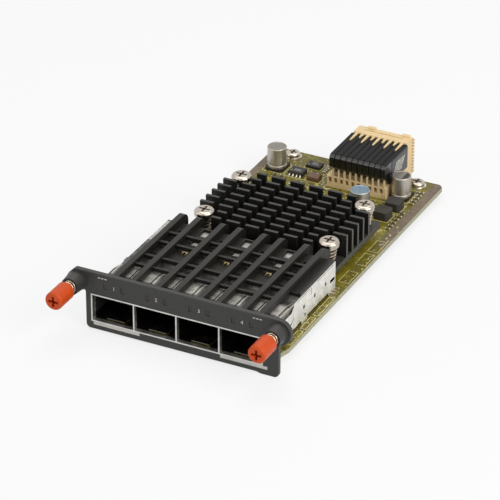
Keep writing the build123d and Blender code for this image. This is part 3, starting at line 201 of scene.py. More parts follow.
class Finish:
    """A material round one Principled shader, with short ways to add its texture nodes."""

    def __init__(self, name, color, roughness, metallic=0.0, **values):
        self.material = bpy.data.materials.new(name)
        self.material.use_nodes = True
        self.nodes = self.material.node_tree.nodes
        self.links = self.material.node_tree.links
        self.shader = self.nodes["Principled BSDF"]
        self.shader.inputs["Base Color"].default_value = (*color, 1.0)
        self.shader.inputs["Roughness"].default_value = roughness
        self.shader.inputs["Metallic"].default_value = metallic
        for socket, value in values.items():
            self.shader.inputs[socket.replace("_", " ")].default_value = value
        self.material.diffuse_color = (*color, 1.0)
        self.coordinates = self.nodes.new("ShaderNodeTexCoord").outputs["Object"]

    def link(self, source, target):
        self.links.new(source, target)
        return source

    def stretched(self, scale):
        """The object's own coordinates, scaled along each axis."""
        mapping = self.nodes.new("ShaderNodeMapping")
        mapping.inputs["Scale"].default_value = scale
        self.link(self.coordinates, mapping.inputs["Vector"])
        return mapping.outputs["Vector"]

    def noise(self, per_metre, detail=3.0, distortion=0.0, at=None):
        texture = self.nodes.new("ShaderNodeTexNoise")
        texture.inputs["Scale"].default_value = per_metre
        texture.inputs["Detail"].default_value = detail
        texture.inputs["Roughness"].default_value = NOISE_ROUGHNESS
        texture.inputs["Distortion"].default_value = distortion
        self.link(at or self.coordinates, texture.inputs["Vector"])
        return texture.outputs["Fac"]

    def cells(self, per_metre):
        texture = self.nodes.new("ShaderNodeTexVoronoi")
        texture.inputs["Scale"].default_value = per_metre
        self.link(self.coordinates, texture.inputs["Vector"])
        return texture.outputs["Distance"]

    def between(self, value, low, high, to_low=0.0, to_high=1.0):
        """Maps a value from low..high to another range, and keeps it there."""
        node = self.nodes.new("ShaderNodeMapRange")
        node.inputs["From Min"].default_value = low
        node.inputs["From Max"].default_value = high
        node.inputs["To Min"].default_value = to_low
        node.inputs["To Max"].default_value = to_high
        self.link(value, node.inputs["Value"])
        return node.outputs["Result"]

    def times(self, *values):
        """Product of several values."""
        total = values[0]
        for value in values[1:]:
            total = self.math("MULTIPLY", total, value)
        return total

    def plus(self, first, second):
        return self.math("ADD", first, second)

    def math(self, operation, first, second=0.0):
        node = self.nodes.new("ShaderNodeMath")
        node.operation = operation
        for socket, value in zip(node.inputs, (first, second)):
            if isinstance(value, (int, float)):
                socket.default_value = value
            else:
                self.link(value, socket)
        return node.outputs["Value"]

    def lines(self, value, pitch, share):
        """1 on evenly spaced lines along a coordinate, else 0."""
        return self.math("LESS_THAN", self.math("FRACT", self.math("DIVIDE", value, pitch)), share)

    def inside(self, value, low, high):
        """1 where a value is between two bounds, else 0."""
        return self.times(self.math("GREATER_THAN", value, low), self.math("LESS_THAN", value, high))

    def axis(self, letter):
        """One of the object's own coordinates."""
        node = self.nodes.new("ShaderNodeSeparateXYZ")
        self.link(self.coordinates, node.inputs["Vector"])
        return node.outputs[letter]

    def facing(self, letter):
        """How far the surface faces along one axis of the object."""
        node = self.nodes.new("ShaderNodeSeparateXYZ")
        normal = self.nodes.new("ShaderNodeTexCoord").outputs["Normal"]
        self.link(normal, node.inputs["Vector"])
        return node.outputs[letter]

    def mix(self, amount, first, second):
        node = self.nodes.new("ShaderNodeMix")
        node.data_type = "RGBA"
        self.link(amount, node.inputs[0])
        for socket, value in ((node.inputs[6], first), (node.inputs[7], second)):
            if isinstance(value, bpy.types.NodeSocket):
                self.link(value, socket)
            else:
                socket.default_value = (*value, 1.0)
        return node.outputs[2]

    def color(self, source):
        return self.link(source, self.shader.inputs["Base Color"])

    def roughness(self, value, low, high):
        return self.link(self.between(value, 0.3, 0.7, low, high), self.shader.inputs["Roughness"])

    def relief(self, height, distance, strength=1.0, edge=0.0):
        """Fine relief from a height, over softened edges where an edge radius is given."""
        bump = self.nodes.new("ShaderNodeBump")
        bump.inputs["Strength"].default_value = strength
        bump.inputs["Distance"].default_value = distance
        self.link(height, bump.inputs["Height"])
        if edge:
            soft = self.nodes.new("ShaderNodeBevel")
            soft.samples = 4
            soft.inputs["Radius"].default_value = edge
            self.link(soft.outputs["Normal"], bump.inputs["Normal"])
        self.link(bump.outputs["Normal"], self.shader.inputs["Normal"])


def tone(color, factor):
    return tuple(min(1.0, c * factor) for c in color)


def clouded(finish, color, grain, spread):
    """Uneven colour: broad clouds with a little fine speckle."""
    cloud = finish.between(finish.noise(grain / 12, 4.0), 0.3, 0.7)
    speckle = finish.between(finish.noise(grain / 2, 2.0), 0.25, 0.75)
    amount = finish.plus(finish.times(cloud, 0.7), finish.times(speckle, 0.3))
    return finish.mix(amount, tone(color, 1 - spread), tone(color, 1 + spread))


def mottled(name, color, roughness, grain, spread=0.25, depth=0.00002, edge=0.0, **values):
    """A finish with cloudy colour, uneven gloss and a fine grain."""
    finish = Finish(name, color, roughness, **values)
    finish.color(clouded(finish, color, grain, spread))
    finish.roughness(finish.noise(grain / 4, 3.0), roughness * 0.8, roughness * 1.2)
    finish.relief(finish.noise(grain, 2.0), depth, edge=edge)
    return finish


def brushed(name, color, roughness, along, depth=0.00001, wave=0.0, **values):
    """A metal with fine lines along one axis and a soft unevenness that breaks up its reflections."""
    finish = Finish(name, color, roughness, 1.0, **values)
    stretch = [0.06 if letter == along else 1.0 for letter in "XYZ"]
    lines = finish.noise(6000, 2.0, at=finish.stretched(stretch))
    cloud = finish.noise(260, 4.0)
    finish.color(finish.mix(finish.between(cloud, 0.35, 0.7), tone(color, 0.82), tone(color, 1.1)))
    finish.roughness(finish.plus(finish.times(lines, 0.6), finish.times(cloud, 0.4)),
                     roughness * 0.7, roughness * 1.4)
    height = finish.times(lines, depth)
    if wave:
        height = finish.plus(height, finish.times(finish.noise(WAVES_PER_METRE, 2.0), wave))
    finish.relief(height, 1.0)
    return finish


def tinned_sheet(color):
    """Tin plate with paler sides, its top painted dark as shade under the light pipe frame with patches of
    painted light, its left-facing sides painted darker as shade and its inside painted dark as shade.
    """
    finish = Finish("tin_plate", color, 0.5, 0.8)
    low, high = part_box("cage_shell")
    skin = 0.00015
    across, along, up = (finish.axis(letter) for letter in "XYZ")
    shaded_inside = finish.times(finish.inside(across, low[0] + skin, high[0] - skin),
                          finish.math("LESS_THAN", up, high[2] - skin),
                          finish.math("GREATER_THAN", along, low[1] + 2 * skin))
    patches = finish.noise(330, 5.0, distortion=1.2)
    above = finish.between(finish.facing("Z"), 0.4, 0.7)
    # Patches of painted light on the top, between the light pipe frame's bars.
    bright = None
    for start, width, front, rear in PAINTED_LIGHT_PATCHES:
        from_start = finish.math("SUBTRACT", across, at(start, 0, 0).x)
        column = finish.lines(from_start, PORT_PITCH * MM, width / PORT_PITCH)
        patch = finish.times(column, finish.inside(along, at(0, front, 0).y, at(0, rear, 0).y))
        bright = finish.math("MAXIMUM", bright, patch) if bright else patch
    fine = finish.between(finish.noise(420, 4.0), 0.35, 0.65)
    # Up-facing tin is painted dark as shade under the light pipe frame, and lighter in the patches of
    # painted light.
    shaded_top = finish.mix(bright, finish.mix(fine, tone(color, 0.09), tone(color, 0.2)),
                         finish.mix(fine, tone(color, 0.42), tone(color, 0.72)))
    sides = finish.mix(finish.between(patches, 0.3, 0.7), tone(color, 0.88), tone(color, 1.15))
    # Left-facing sides are painted darker as shade.
    leftward = finish.between(finish.times(finish.facing("X"), -1.0), 0.4, 0.7)
    sides = finish.mix(leftward, sides, tone(color, 0.55))
    outside = finish.mix(above, sides, shaded_top)
    # Inside the cage the tin is painted dark as shade.
    finish.color(finish.mix(shaded_inside, outside, tone(color, 0.1)))
    finish.roughness(patches, 0.4, 0.58)
    height = finish.plus(finish.times(finish.noise(WAVES_PER_METRE, 2.0), 0.00008),
                         finish.times(patches, 0.00006))
    finish.relief(height, 1.0)
    return finish


def board_finish(colors):
    """Solder mask over copper traces, with bare margins and a pale cut edge."""
    finish = Finish("solder_mask", colors.mask, 0.34, Specular_IOR_Level=0.28)
    across, along = finish.axis("X"), finish.axis("Y")
    turned = finish.math("GREATER_THAN", finish.noise(130, 1.0), 0.5)
    fine = 0.00075
    run_along = finish.times(finish.lines(across, fine, 0.5), turned)
    run_across = finish.times(finish.lines(along, fine, 0.5), finish.math("SUBTRACT", 1.0, turned))
    routed = finish.between(finish.noise(210, 2.0), 0.46, 0.5)
    copper = finish.times(finish.plus(run_along, run_across), routed)
    plain = finish.times(finish.math("SUBTRACT", 1.0, routed),
                         finish.between(finish.noise(320, 2.0), 0.4, 0.5))
    dots = finish.math("LESS_THAN", finish.cells(620), 0.17)
    face = finish.mix(finish.math("MAXIMUM", copper, plain), colors.laminate, colors.mask)
    face = finish.mix(finish.times(dots, 0.7), face, (0.62, 0.57, 0.34))
    low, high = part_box("board")
    right = finish.math("GREATER_THAN", across, high[0] - 0.0031)
    left = finish.math("LESS_THAN", across, low[0] + 0.0023)
    rear = finish.between(along, low[1] + 0.076, low[1] + 0.08)
    margin = finish.times(finish.math("MAXIMUM", right, left), rear)
    worn = finish.mix(finish.between(finish.noise(700, 4.0), 0.3, 0.7),
                      tone(colors.edge, 0.75), tone(colors.edge, 1.25))
    face = finish.mix(margin, face, worn)
    upright = finish.math("ABSOLUTE", finish.facing("Z"))
    cut = finish.mix(finish.between(finish.noise(900, 3.0), 0.3, 0.7), (0.25, 0.25, 0.16), (0.4, 0.4, 0.28))
    finish.color(finish.mix(finish.between(upright, 0.4, 0.6), cut, face))
    finish.roughness(finish.noise(900, 3.0), 0.26, 0.44)
    finish.relief(finish.plus(copper, finish.times(finish.noise(2500), 0.3)), 0.00003)
    return finish


def fin_finish(color):
    """Black anodising, with painted light on the fins' tops, and lighter on the right-facing faces at its
    right end.
    """
    finish = Finish("black_anodised", color, 0.42, Specular_IOR_Level=0.3)
    grain = finish.between(finish.noise(2600, 3.0), 0.3, 0.7)
    sides = finish.mix(grain, tone(color, 0.9), tone(color, 1.6))
    # The fins' tops are painted lighter as light from above.
    tops = finish.mix(grain, tone(color, 3.0), tone(color, 5.2))
    # The right-facing faces at the heat sink's right end are lighter.
    ends = finish.mix(grain, tone(color, 5.0), tone(color, 10.0))
    up = finish.between(finish.facing("Z"), 0.5, 0.8)
    rightward = finish.between(finish.facing("X"), 0.5, 0.8)
    color_now = finish.mix(up, sides, tops)
    right_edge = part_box("heat_sink")[1][0]
    outer = finish.times(rightward, finish.math("GREATER_THAN", finish.axis("X"), right_edge - 0.0006))
    finish.color(finish.mix(outer, color_now, ends))
    finish.roughness(finish.noise(1800, 2.0), 0.34, 0.5)
    finish.relief(finish.noise(7000, 2.0), 0.000012, edge=0.00012)
    return finish


def striped_sheet(colors):
    """Black sheet whose raised strips are bright."""
    finish = Finish("shield_strips", colors.wafer, 0.3)
    low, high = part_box("connector_shield")
    proud = finish.math("GREATER_THAN", finish.axis("X"), high[0] - (high[0] - low[0]) * 0.3)
    smudge = finish.between(finish.noise(900, 3.0), 0.35, 0.65)
    bright = finish.mix(smudge, tone(colors.tin, 0.75), tone(colors.tin, 1.3))
    dark = finish.mix(smudge, tone(colors.wafer, 0.7), tone(colors.wafer, 2.5))
    finish.color(finish.mix(proud, dark, bright))
    finish.link(finish.times(proud, 0.35), finish.shader.inputs["Metallic"])
    finish.roughness(finish.noise(2000, 2.0), 0.22, 0.38)
    finish.relief(finish.noise(3000, 2.0), 0.00002)
    return finish


def can_finish(name, color, top):
    """Drawn aluminium sides under a flat top of its own tint."""
    finish = Finish(name, color, 0.36, 0.85)
    lines = finish.noise(4000, 2.0, at=finish.stretched((1.0, 1.0, 0.05)))
    side = finish.mix(finish.between(lines, 0.3, 0.7), tone(color, 0.85), tone(color, 1.08))
    crown = finish.mix(finish.between(finish.noise(1200, 3.0), 0.3, 0.7), tone(top, 0.85), tone(top, 1.1))
    finish.color(finish.mix(finish.between(finish.facing("Z"), 0.6, 0.9), side, crown))
    finish.roughness(lines, 0.3, 0.46)
    finish.relief(lines, 0.00001)
    return finish


def dress(finish, *nodes):
    """Gives CAD nodes a finish."""
    for name in nodes:
        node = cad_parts[name]
        node.data.materials.clear()
        node.data.materials.append(finish.material)


def numbered(stem, count):
    return [f"{stem}_{i + 1}" for i in range(count)]


def sided(stem):
    return [f"{stem}_left", f"{stem}_right"]


def slab(shape, low, high):
    """Adds a block between two corners, in the module's own millimetres."""
    low, high = at(*low), at(*high)
    made = bmesh.ops.create_cube(shape, size=1.0)["verts"]
    bmesh.ops.scale(shape, vec=high - low, verts=made)
    bmesh.ops.translate(shape, vec=(low + high) / 2, verts=made)
    return made


def disc(shape, x, y, low, high, radius, sides=8, top_radius=None):
    """Adds an upright round plate or cone frustum, in the module's own millimetres."""
    top_radius = radius if top_radius is None else top_radius
    made = bmesh.ops.create_cone(shape, cap_ends=True, segments=sides, radius1=radius * MM,
                                 radius2=top_radius * MM, depth=(high - low) * MM)["verts"]
    bmesh.ops.translate(shape, vec=at(x, y, (low + high) / 2), verts=made)
    return made


def outline_lines(shape, x0, x1, y0, y1, width, low, high):
    """Adds a printed rectangle of four thin lines."""
    slab(shape, (x0, y0, low), (x1, y0 + width, high))
    slab(shape, (x0, y1 - width, low), (x1, y1, high))
    slab(shape, (x0, y0 + width, low), (x0 + width, y1 - width, high))
    slab(shape, (x1 - width, y0 + width, low), (x1, y1 - width, high))


def add_piece(name, shape, finish, body="module", smooth=False):
    """Makes a finished piece of a bmesh and lets it ride on a body."""
    bmesh.ops.recalc_face_normals(shape, faces=shape.faces)
    mesh = bpy.data.meshes.new(name)
    shape.to_mesh(mesh)
    shape.free()
    mesh.materials.append(finish.material)
    if smooth:
        mesh.shade_smooth()
    made = bpy.data.objects.new(name, mesh)
    bpy.context.scene.collection.objects.link(made)
    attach(made, body)
    return made


def blocks_of(node):
    """Lowest and highest corner of every separate block of a CAD node, in its own millimetres."""
    shape = bmesh.new()
    shape.from_mesh(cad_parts[node].data)
    bmesh.ops.remove_doubles(shape, verts=shape.verts, dist=0.000001)
    shape.verts.index_update()
    seen = set()
    corners = []
    for start in shape.verts:
        if start.index in seen:
            continue
        seen.add(start.index)
        group = [start]
        for vert in group:
            for edge in vert.link_edges:
                other = edge.other_vert(vert)
                if other.index not in seen:
                    seen.add(other.index)
                    group.append(other)
        places = [(vert.co - ORIGIN) / MM for vert in group]
        corners.append(([min(place[i] for place in places) for i in range(3)],
                        [max(place[i] for place in places) for i in range(3)]))
    shape.free()
    if not corners:
        raise RuntimeError(f"{node} has no blocks")
    return corners


def figure(shape, word, x, z, size, front, depth):
    """Adds a raised figure that stands on the face plate."""
    curve = bpy.data.curves.new("figure", "FONT")
    curve.body = word
    curve.size = size * MM
    curve.align_x = "CENTER"
    curve.align_y = "CENTER"
    curve.extrude = depth * MM / 2
    curve.resolution_u = 2
    drawn = bpy.data.objects.new("figure", curve)
    bpy.context.scene.collection.objects.link(drawn)
    mesh = bpy.data.meshes.new_from_object(drawn.evaluated_get(bpy.context.evaluated_depsgraph_get()))
    mesh.transform(Matrix.Translation(at(x, front, z)) @ Matrix.Rotation(math.pi / 2, 4, "X"))
    shape.from_mesh(mesh)
    bpy.data.objects.remove(drawn)
    bpy.data.curves.remove(curve)
    bpy.data.meshes.remove(mesh)


class MODULE_OT_bezel(bpy.types.Operator):
    """Paints the face plate and prints its bars and port numbers"""
    bl_idname = "port_module.bezel"
    bl_label = "Bezel"

    def execute(self, context):
        colors = context.scene.port_module_colors
        height = context.scene.port_module_sizes.print_height / MM
        dress(mottled("satin_black_paint", colors.bezel, 0.44, 9000, 0.12, depth=0.000012, edge=0.0002,
                      Specular_IOR_Level=0.35), "bezel")
        shape = bmesh.new()
        for x0, x1 in PRINT_BARS:
            slab(shape, (x0, -height, PRINT_BAR_LOW), (x1, PRINT_SUNK, PRINT_BAR_HIGH))
        for start in DASH_STARTS:
            for i in range(3):
                x = start + DASH_PITCH * i
                slab(shape, (x, -height, 15.1), (x + DASH_LENGTH, PRINT_SUNK, 15.4))
        for i, x in enumerate(PORT_CENTRES):
            figure(shape, str(i + 1), x + 0.5, 12.6, 1.7, 0.0, 2 * height)
        print_finish = mottled("pale_print", colors.print, 0.5, 7000, 0.12, depth=0.000006)
        add_piece("bezel_print", shape, print_finish)
        return {"FINISHED"}


class MODULE_OT_cage(bpy.types.Operator):
    """Finishes the port cage, its collar, walls, latch tongues and spring fingers"""
    bl_idname = "port_module.cage"
    bl_label = "Port cage"

    def execute(self, context):
        colors = context.scene.port_module_colors
        dress(tinned_sheet(colors.tin), "cage_shell", "emi_collar")
        # The floor and walls inside the cage are its tin, painted dark as shade.
        shaded_steel = brushed("cage_inside", tone(colors.tin, 0.16), 0.3, "Y", wave=0.0001)
        dress(shaded_steel, "cage_floor", *numbered("cage_divider", 3))
        dress(brushed("collar_steel", tone(colors.tin, 0.85), 0.4, "X"), "port_collar")
        dress(mottled("socket_black", (0.006, 0.006, 0.006), 0.5, 5000), *numbered("port_connector", 4))
        # The contacts' gold is painted dark as shade inside the ports.
        dress(brushed("contact_gold", (0.3, 0.2, 0.08), 0.3, "Y"), "port_contacts")
        self.add_clips()
        self.add_seams(colors)
        return {"FINISHED"}

    def add_clips(self):
        """Brass clips that hold the walls between the ports on the cage's top."""
        shape = bmesh.new()
        top = own_box("cage_shell")[1][2]
        for centre in PORT_CENTRES[:-1]:
            middle = centre + PORT_PITCH / 2
            for dx in CLIP_TABS:
                slab(shape, (middle + dx, 30.9, top), (middle + dx + 0.5, 32.7, top + CLIP_HEIGHT))
            slab(shape, (middle + CLIP_TABS[0], 32.1, top + CLIP_HEIGHT), (middle + 1.25, 32.5, top + 0.9))
        add_piece("divider_clips", shape, brushed("clip_brass", (0.6, 0.5, 0.32), 0.3, "Y"))

    def add_seams(self, colors):
        """Thin strips between the cage's sides and the flanges of its floor, their tin painted dark as
        shade.
        """
        shape = bmesh.new()
        rear = own_box("cage_floor")[1][1]
        for x0, x1 in SEAM_SIDES:
            slab(shape, (x0, CAGE_FRONT + 0.1, SEAM_LOW), (x1, rear, SEAM_HIGH))
        # The strips' tin is painted dark as shade inside the cage.
        steel = brushed("seam_steel", tone(colors.tin, 0.14), 0.35, "Y")
        add_piece("floor_seams", shape, steel)


class MODULE_OT_carrier(bpy.types.Operator):
    """Finishes the frame of light pipes, the pipes and their lamps"""
    bl_idname = "port_module.carrier"
    bl_label = "Light pipe frame"

    def execute(self, context):
        colors = context.scene.port_module_colors
        dress(mottled("moulded_black", colors.carrier, 0.46, 7000, 0.2, depth=0.00001, edge=0.00025,
                      Specular_IOR_Level=0.3), "light_pipe_carrier")
        # The light pipes are clear acrylic; their dark brown tint is painted shade, for windows that look
        # into the dark inside.
        shaded_pipes = mottled("smoky_acrylic", (0.035, 0.026, 0.018), 0.16, 3000, 0.3, Transmission_Weight=0.35,
                        IOR=1.49, Specular_IOR_Level=0.4)
        dress(shaded_pipes, *numbered("light_pipes", 4))
        dress(mottled("lamp_resin", (0.5, 0.5, 0.36), 0.25, 4000, 0.1), "leds")
        return {"FINISHED"}


class MODULE_OT_board(bpy.types.Operator):
    """Finishes the circuit board and adds its traces, plated holes, solder and printed lines"""
    bl_idname = "port_module.board"
    bl_label = "Circuit board"

    def execute(self, context):
        colors = context.scene.port_module_colors
        sizes = context.scene.port_module_sizes
        dress(board_finish(colors), "board")
        self.add_traces(colors, sizes)
        self.add_legend(sizes)
        self.add_vias(colors, sizes)
        self.add_solder(colors)
        return {"FINISHED"}

    def add_traces(self, colors, sizes):
        """Bundles of raised traces between the connector and the heat sink and down the right side."""
        width, high = sizes.trace_width / MM, sizes.trace_height / MM
        shape = bmesh.new()
        for i in range(18):
            x = -0.4 + i * 1.02
            slab(shape, (x, 87.0, 0), (x + width, 107.0 - 0.35 * (i % 4), high))
        for i in range(5):
            x = 25.9 + i * 0.62
            slab(shape, (x - 0.8, 52.0 + 0.6 * i, 0), (x - 0.8 + width, 92.0 - 0.6 * i, high))
        for i in range(8):
            y = 99.5 + i * 0.66
            slab(shape, (-20.0 + 0.7 * i, y, 0), (-3.0 - 0.5 * i, y + width, high))
        for i in range(6):
            y = 88.2 + i * 0.62
            slab(shape, (-24.0, y, 0), (-4.0 - 1.2 * i, y + width, high))
        paint = mottled("mask_over_trace", tone(colors.mask, 1.35), 0.3, 5000, 0.2, Specular_IOR_Level=0.4)
        add_piece("board_traces", shape, paint)

    def add_legend(self, sizes):
        """Printed outlines round the parts and along the right margin."""
        width, high = sizes.legend_width / MM, sizes.legend_height / MM
        shape = bmesh.new()
        for node, room in (("control_chip", 1.3), ("logic_chip", 0.45), ("filter_coil", 0.5)):
            low, top = own_box(node)
            outline_lines(shape, low[0] - room, top[0] + room, low[1] - room, top[1] + room, width, 0, high)
        for low, top in blocks_of("power_coils") + blocks_of("capacitor_bases"):
            outline_lines(shape, low[0] - 0.5, top[0] + 0.5, low[1] - 0.5, top[1] + 0.5, width, 0, high)
        for y0, y1 in MARGIN_BOXES:
            outline_lines(shape, 29.15, 31.1, y0, y1, 1.2 * width, 0, high)
            slab(shape, (29.5, (y0 + y1) / 2, 0), (30.8, (y0 + y1) / 2 + width, high))
        for y0 in MARGIN_SQUARES:
            outline_lines(shape, 27.4, 30.9, y0, y0 + MARGIN_SQUARE_LENGTH, width, 0, high)
        left, right = CONNECTOR_BOX[0][0], CONNECTOR_BOX[1][0]
        outline_lines(shape, left - 0.6, right + 0.6, 105.6, 123.5, width, 0, high)
        self.scatter_marks(shape, random.Random(sizes.seed), left, high)
        ink = mottled("yellow_legend", (0.66, 0.62, 0.3), 0.55, 6000, 0.15, depth=0.000006)
        add_piece("board_legend", shape, ink)

    def scatter_marks(self, shape, draw, left, high):
        """Small printed marks between the parts, beside the connector and down the right margin."""
        for _ in range(90):
            x, y = draw.uniform(-24, 25), draw.uniform(87, 106)
            for i in range(draw.randint(2, 3)):
                slab(shape, (x + 0.45 * i, y, 0), (x + 0.45 * i + 0.3, y + 0.5, 0.8 * high))
        for _ in range(46):
            x, y = draw.uniform(-7.0, left - 1.6), draw.uniform(104.0, 122.5)
            slab(shape, (x, y, 0), (x + draw.choice((0.3, 0.9)), y + 0.35, high))
        for i in range(34):
            x, y = draw.uniform(29.0, 31.0), 15.0 + 2.3 * i + draw.uniform(0.0, 1.4)
            slab(shape, (x, y, 0), (x + 0.35, y + draw.choice((0.35, 0.9)), high))
        for i in range(22):
            x = left + 0.95 * i
            slab(shape, (x, 104.4 + 0.5 * (i % 3), 0), (x + 0.4, 104.8 + 0.5 * (i % 3), high))

    def add_vias(self, colors, sizes):
        """Plated rings scattered over the free parts of the board, and round its screw holes."""
        draw = random.Random(sizes.seed + 1)
        radius = sizes.via_radius / MM
        shape = bmesh.new()
        for count, across, along, largest, below in VIA_FIELDS:
            foot = BOARD_LOW[2] - VIA_HEIGHT if below else 0
            for _ in range(count):
                x, y = draw.uniform(*across), draw.uniform(*along)
                disc(shape, x, y, foot, foot + VIA_HEIGHT, radius * draw.uniform(0.7, largest))
        for low, top in blocks_of("board_screws"):
            disc(shape, (low[0] + top[0]) / 2, (low[1] + top[1]) / 2, 0, 0.035, 2.9, 32)
        plate = brushed("tinned_pad", tone(colors.tin, 0.85), 0.3, "X")
        add_piece("board_vias", shape, plate)

    def add_solder(self, colors):
        """Solder cones below the board, round the connector's tails and the cage's pins."""
        shape = bmesh.new()
        under = BOARD_LOW[2]
        for low, top in blocks_of("connector_pins"):
            disc(shape, (low[0] + top[0]) / 2, (low[1] + top[1]) / 2, under - 0.45, under, 0.3, 8, 0.46)
        for side in (-1, 1):
            for share in CAGE_PIN_SHARES:
                y = CAGE_FRONT + share * CAGE_LENGTH
                disc(shape, side * CAGE_PIN_X, y, under - 0.5, under, 0.36, 8, 0.55)
        add_piece("solder_cones", shape, brushed("solder", colors.tin, 0.22, "Z"), smooth=True)


class MODULE_OT_heat_sink(bpy.types.Operator):
    """Finishes the heat sink, the chip and the pad below it"""
    bl_idname = "port_module.heat_sink"
    bl_label = "Heat sink"

    def execute(self, context):
        colors = context.scene.port_module_colors
        dress(fin_finish(colors.sink), "heat_sink")
        dress(mottled("pad_grey", (0.3, 0.32, 0.35), 0.8, 4000), "thermal_pad")
        dress(mottled("chip_mould", (0.02, 0.02, 0.02), 0.5, 6000), "switch_chip")
        return {"FINISHED"}


class MODULE_OT_screws(bpy.types.Operator):
    """Finishes the pan-head screws, nuts and conical springs"""
    bl_idname = "port_module.screws"
    bl_label = "Screws and springs"

    def execute(self, context):
        colors = context.scene.port_module_colors
        nickel = brushed("nickel_plate", colors.nickel, 0.2, "X", wave=0.00006)
        dress(nickel, "board_screws", "heat_sink_nuts", "board_nuts", "bezel_screws")
        dress(self.darker_below(colors.nickel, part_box("heat_sink_springs")[1][2]), "heat_sink_screws")
        dress(brushed("spring_wire", tone(colors.wire, 0.9), 0.26, "Z"), "heat_sink_springs")
        return {"FINISHED"}

    def darker_below(self, color, height):
        """Nickel heads on shanks painted dark as shade under the heads and inside the springs."""
        finish = Finish("oiled_shank", color, 0.2, 1.0)
        cloud = finish.noise(900, 3.0)
        head = finish.mix(finish.between(cloud, 0.35, 0.7), tone(color, 0.82), tone(color, 1.1))
        # Below the springs' tops the shank is painted dark as shade.
        shank = finish.mix(finish.between(cloud, 0.35, 0.7), tone(color, 0.06), tone(color, 0.16))
        finish.color(finish.mix(finish.math("LESS_THAN", finish.axis("Z"), height), head, shank))
        finish.roughness(cloud, 0.15, 0.3)
        finish.relief(finish.noise(WAVES_PER_METRE, 2.0), 0.00006)
        return finish


class MODULE_OT_thumbscrews(bpy.types.Operator):
    """Finishes the red thumbscrews and retaining rings and winds their springs"""
    bl_idname = "port_module.thumbscrews"
    bl_label = "Thumbscrews"

    def execute(self, context):
        colors = context.scene.port_module_colors
        sizes = context.scene.port_module_sizes
        dress(mottled("orange_red_lacquer", colors.thumb, 0.44, 6000, 0.12, edge=0.0002,
                      Specular_IOR_Level=0.3), *sided("thumbscrew"))
        wire = brushed("bright_wire", tone(colors.wire, 1.2), 0.22, "Y")
        dress(wire, *sided("thumb_spring"), *sided("retaining_ring"))
        for side in ("left", "right"):
            self.wind(side, sizes, wire)
        return {"FINISHED"}

    def wind(self, side, sizes, wire):
        """One round-wire coil that stands for the solid."""
        low, high = (Vector(corner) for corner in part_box(f"thumb_spring_{side}"))
        middle = (low + high) / 2
        rise = high.y - low.y - sizes.coil_wire
        steps = 24 * sizes.coil_turns
        shape = bmesh.new()
        ring = bmesh.ops.create_circle(shape, segments=10, radius=sizes.coil_wire / 2)["verts"]
        start = Vector((middle.x + sizes.coil_radius, high.y - sizes.coil_wire / 2, middle.z))
        bmesh.ops.translate(shape, vec=start, verts=ring)
        bmesh.ops.spin(shape, geom=shape.verts[:] + shape.edges[:], cent=middle, axis=(0, 1, 0),
                       dvec=(0, -rise / steps, 0), angle=2 * math.pi * sizes.coil_turns, steps=steps)
        bmesh.ops.holes_fill(shape, edges=[edge for edge in shape.edges if edge.is_boundary])
        coil = add_piece(f"thumb_coil_{side}", shape, wire, smooth=True)
        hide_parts(f"thumb_spring_{side}")
        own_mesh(coil)


class MODULE_OT_connector(bpy.types.Operator):
    """Finishes the backplane connector"""
    bl_idname = "port_module.connector"
    bl_label = "Backplane connector"

    def execute(self, context):
        colors = context.scene.port_module_colors
        dress(mottled("cream_plastic", colors.cream, 0.5, 5000, 0.1, edge=0.0001, Specular_IOR_Level=0.3),
              "connector_housing", "connector_comb")
        wafer = mottled("wafer_black", colors.wafer, 0.2, 5000, 0.3, edge=0.0003)
        gloss = wafer.between(wafer.facing("Z"), 0.75, 0.97, 0.7, 0.08)
        wafer.link(gloss, wafer.shader.inputs["Specular IOR Level"])
        dress(wafer, *numbered("wafer", 10))
        dress(striped_sheet(colors), "connector_shield")
        dress(brushed("tail_tin", colors.tin, 0.25, "Z"), "connector_pins")
        return {"FINISHED"}


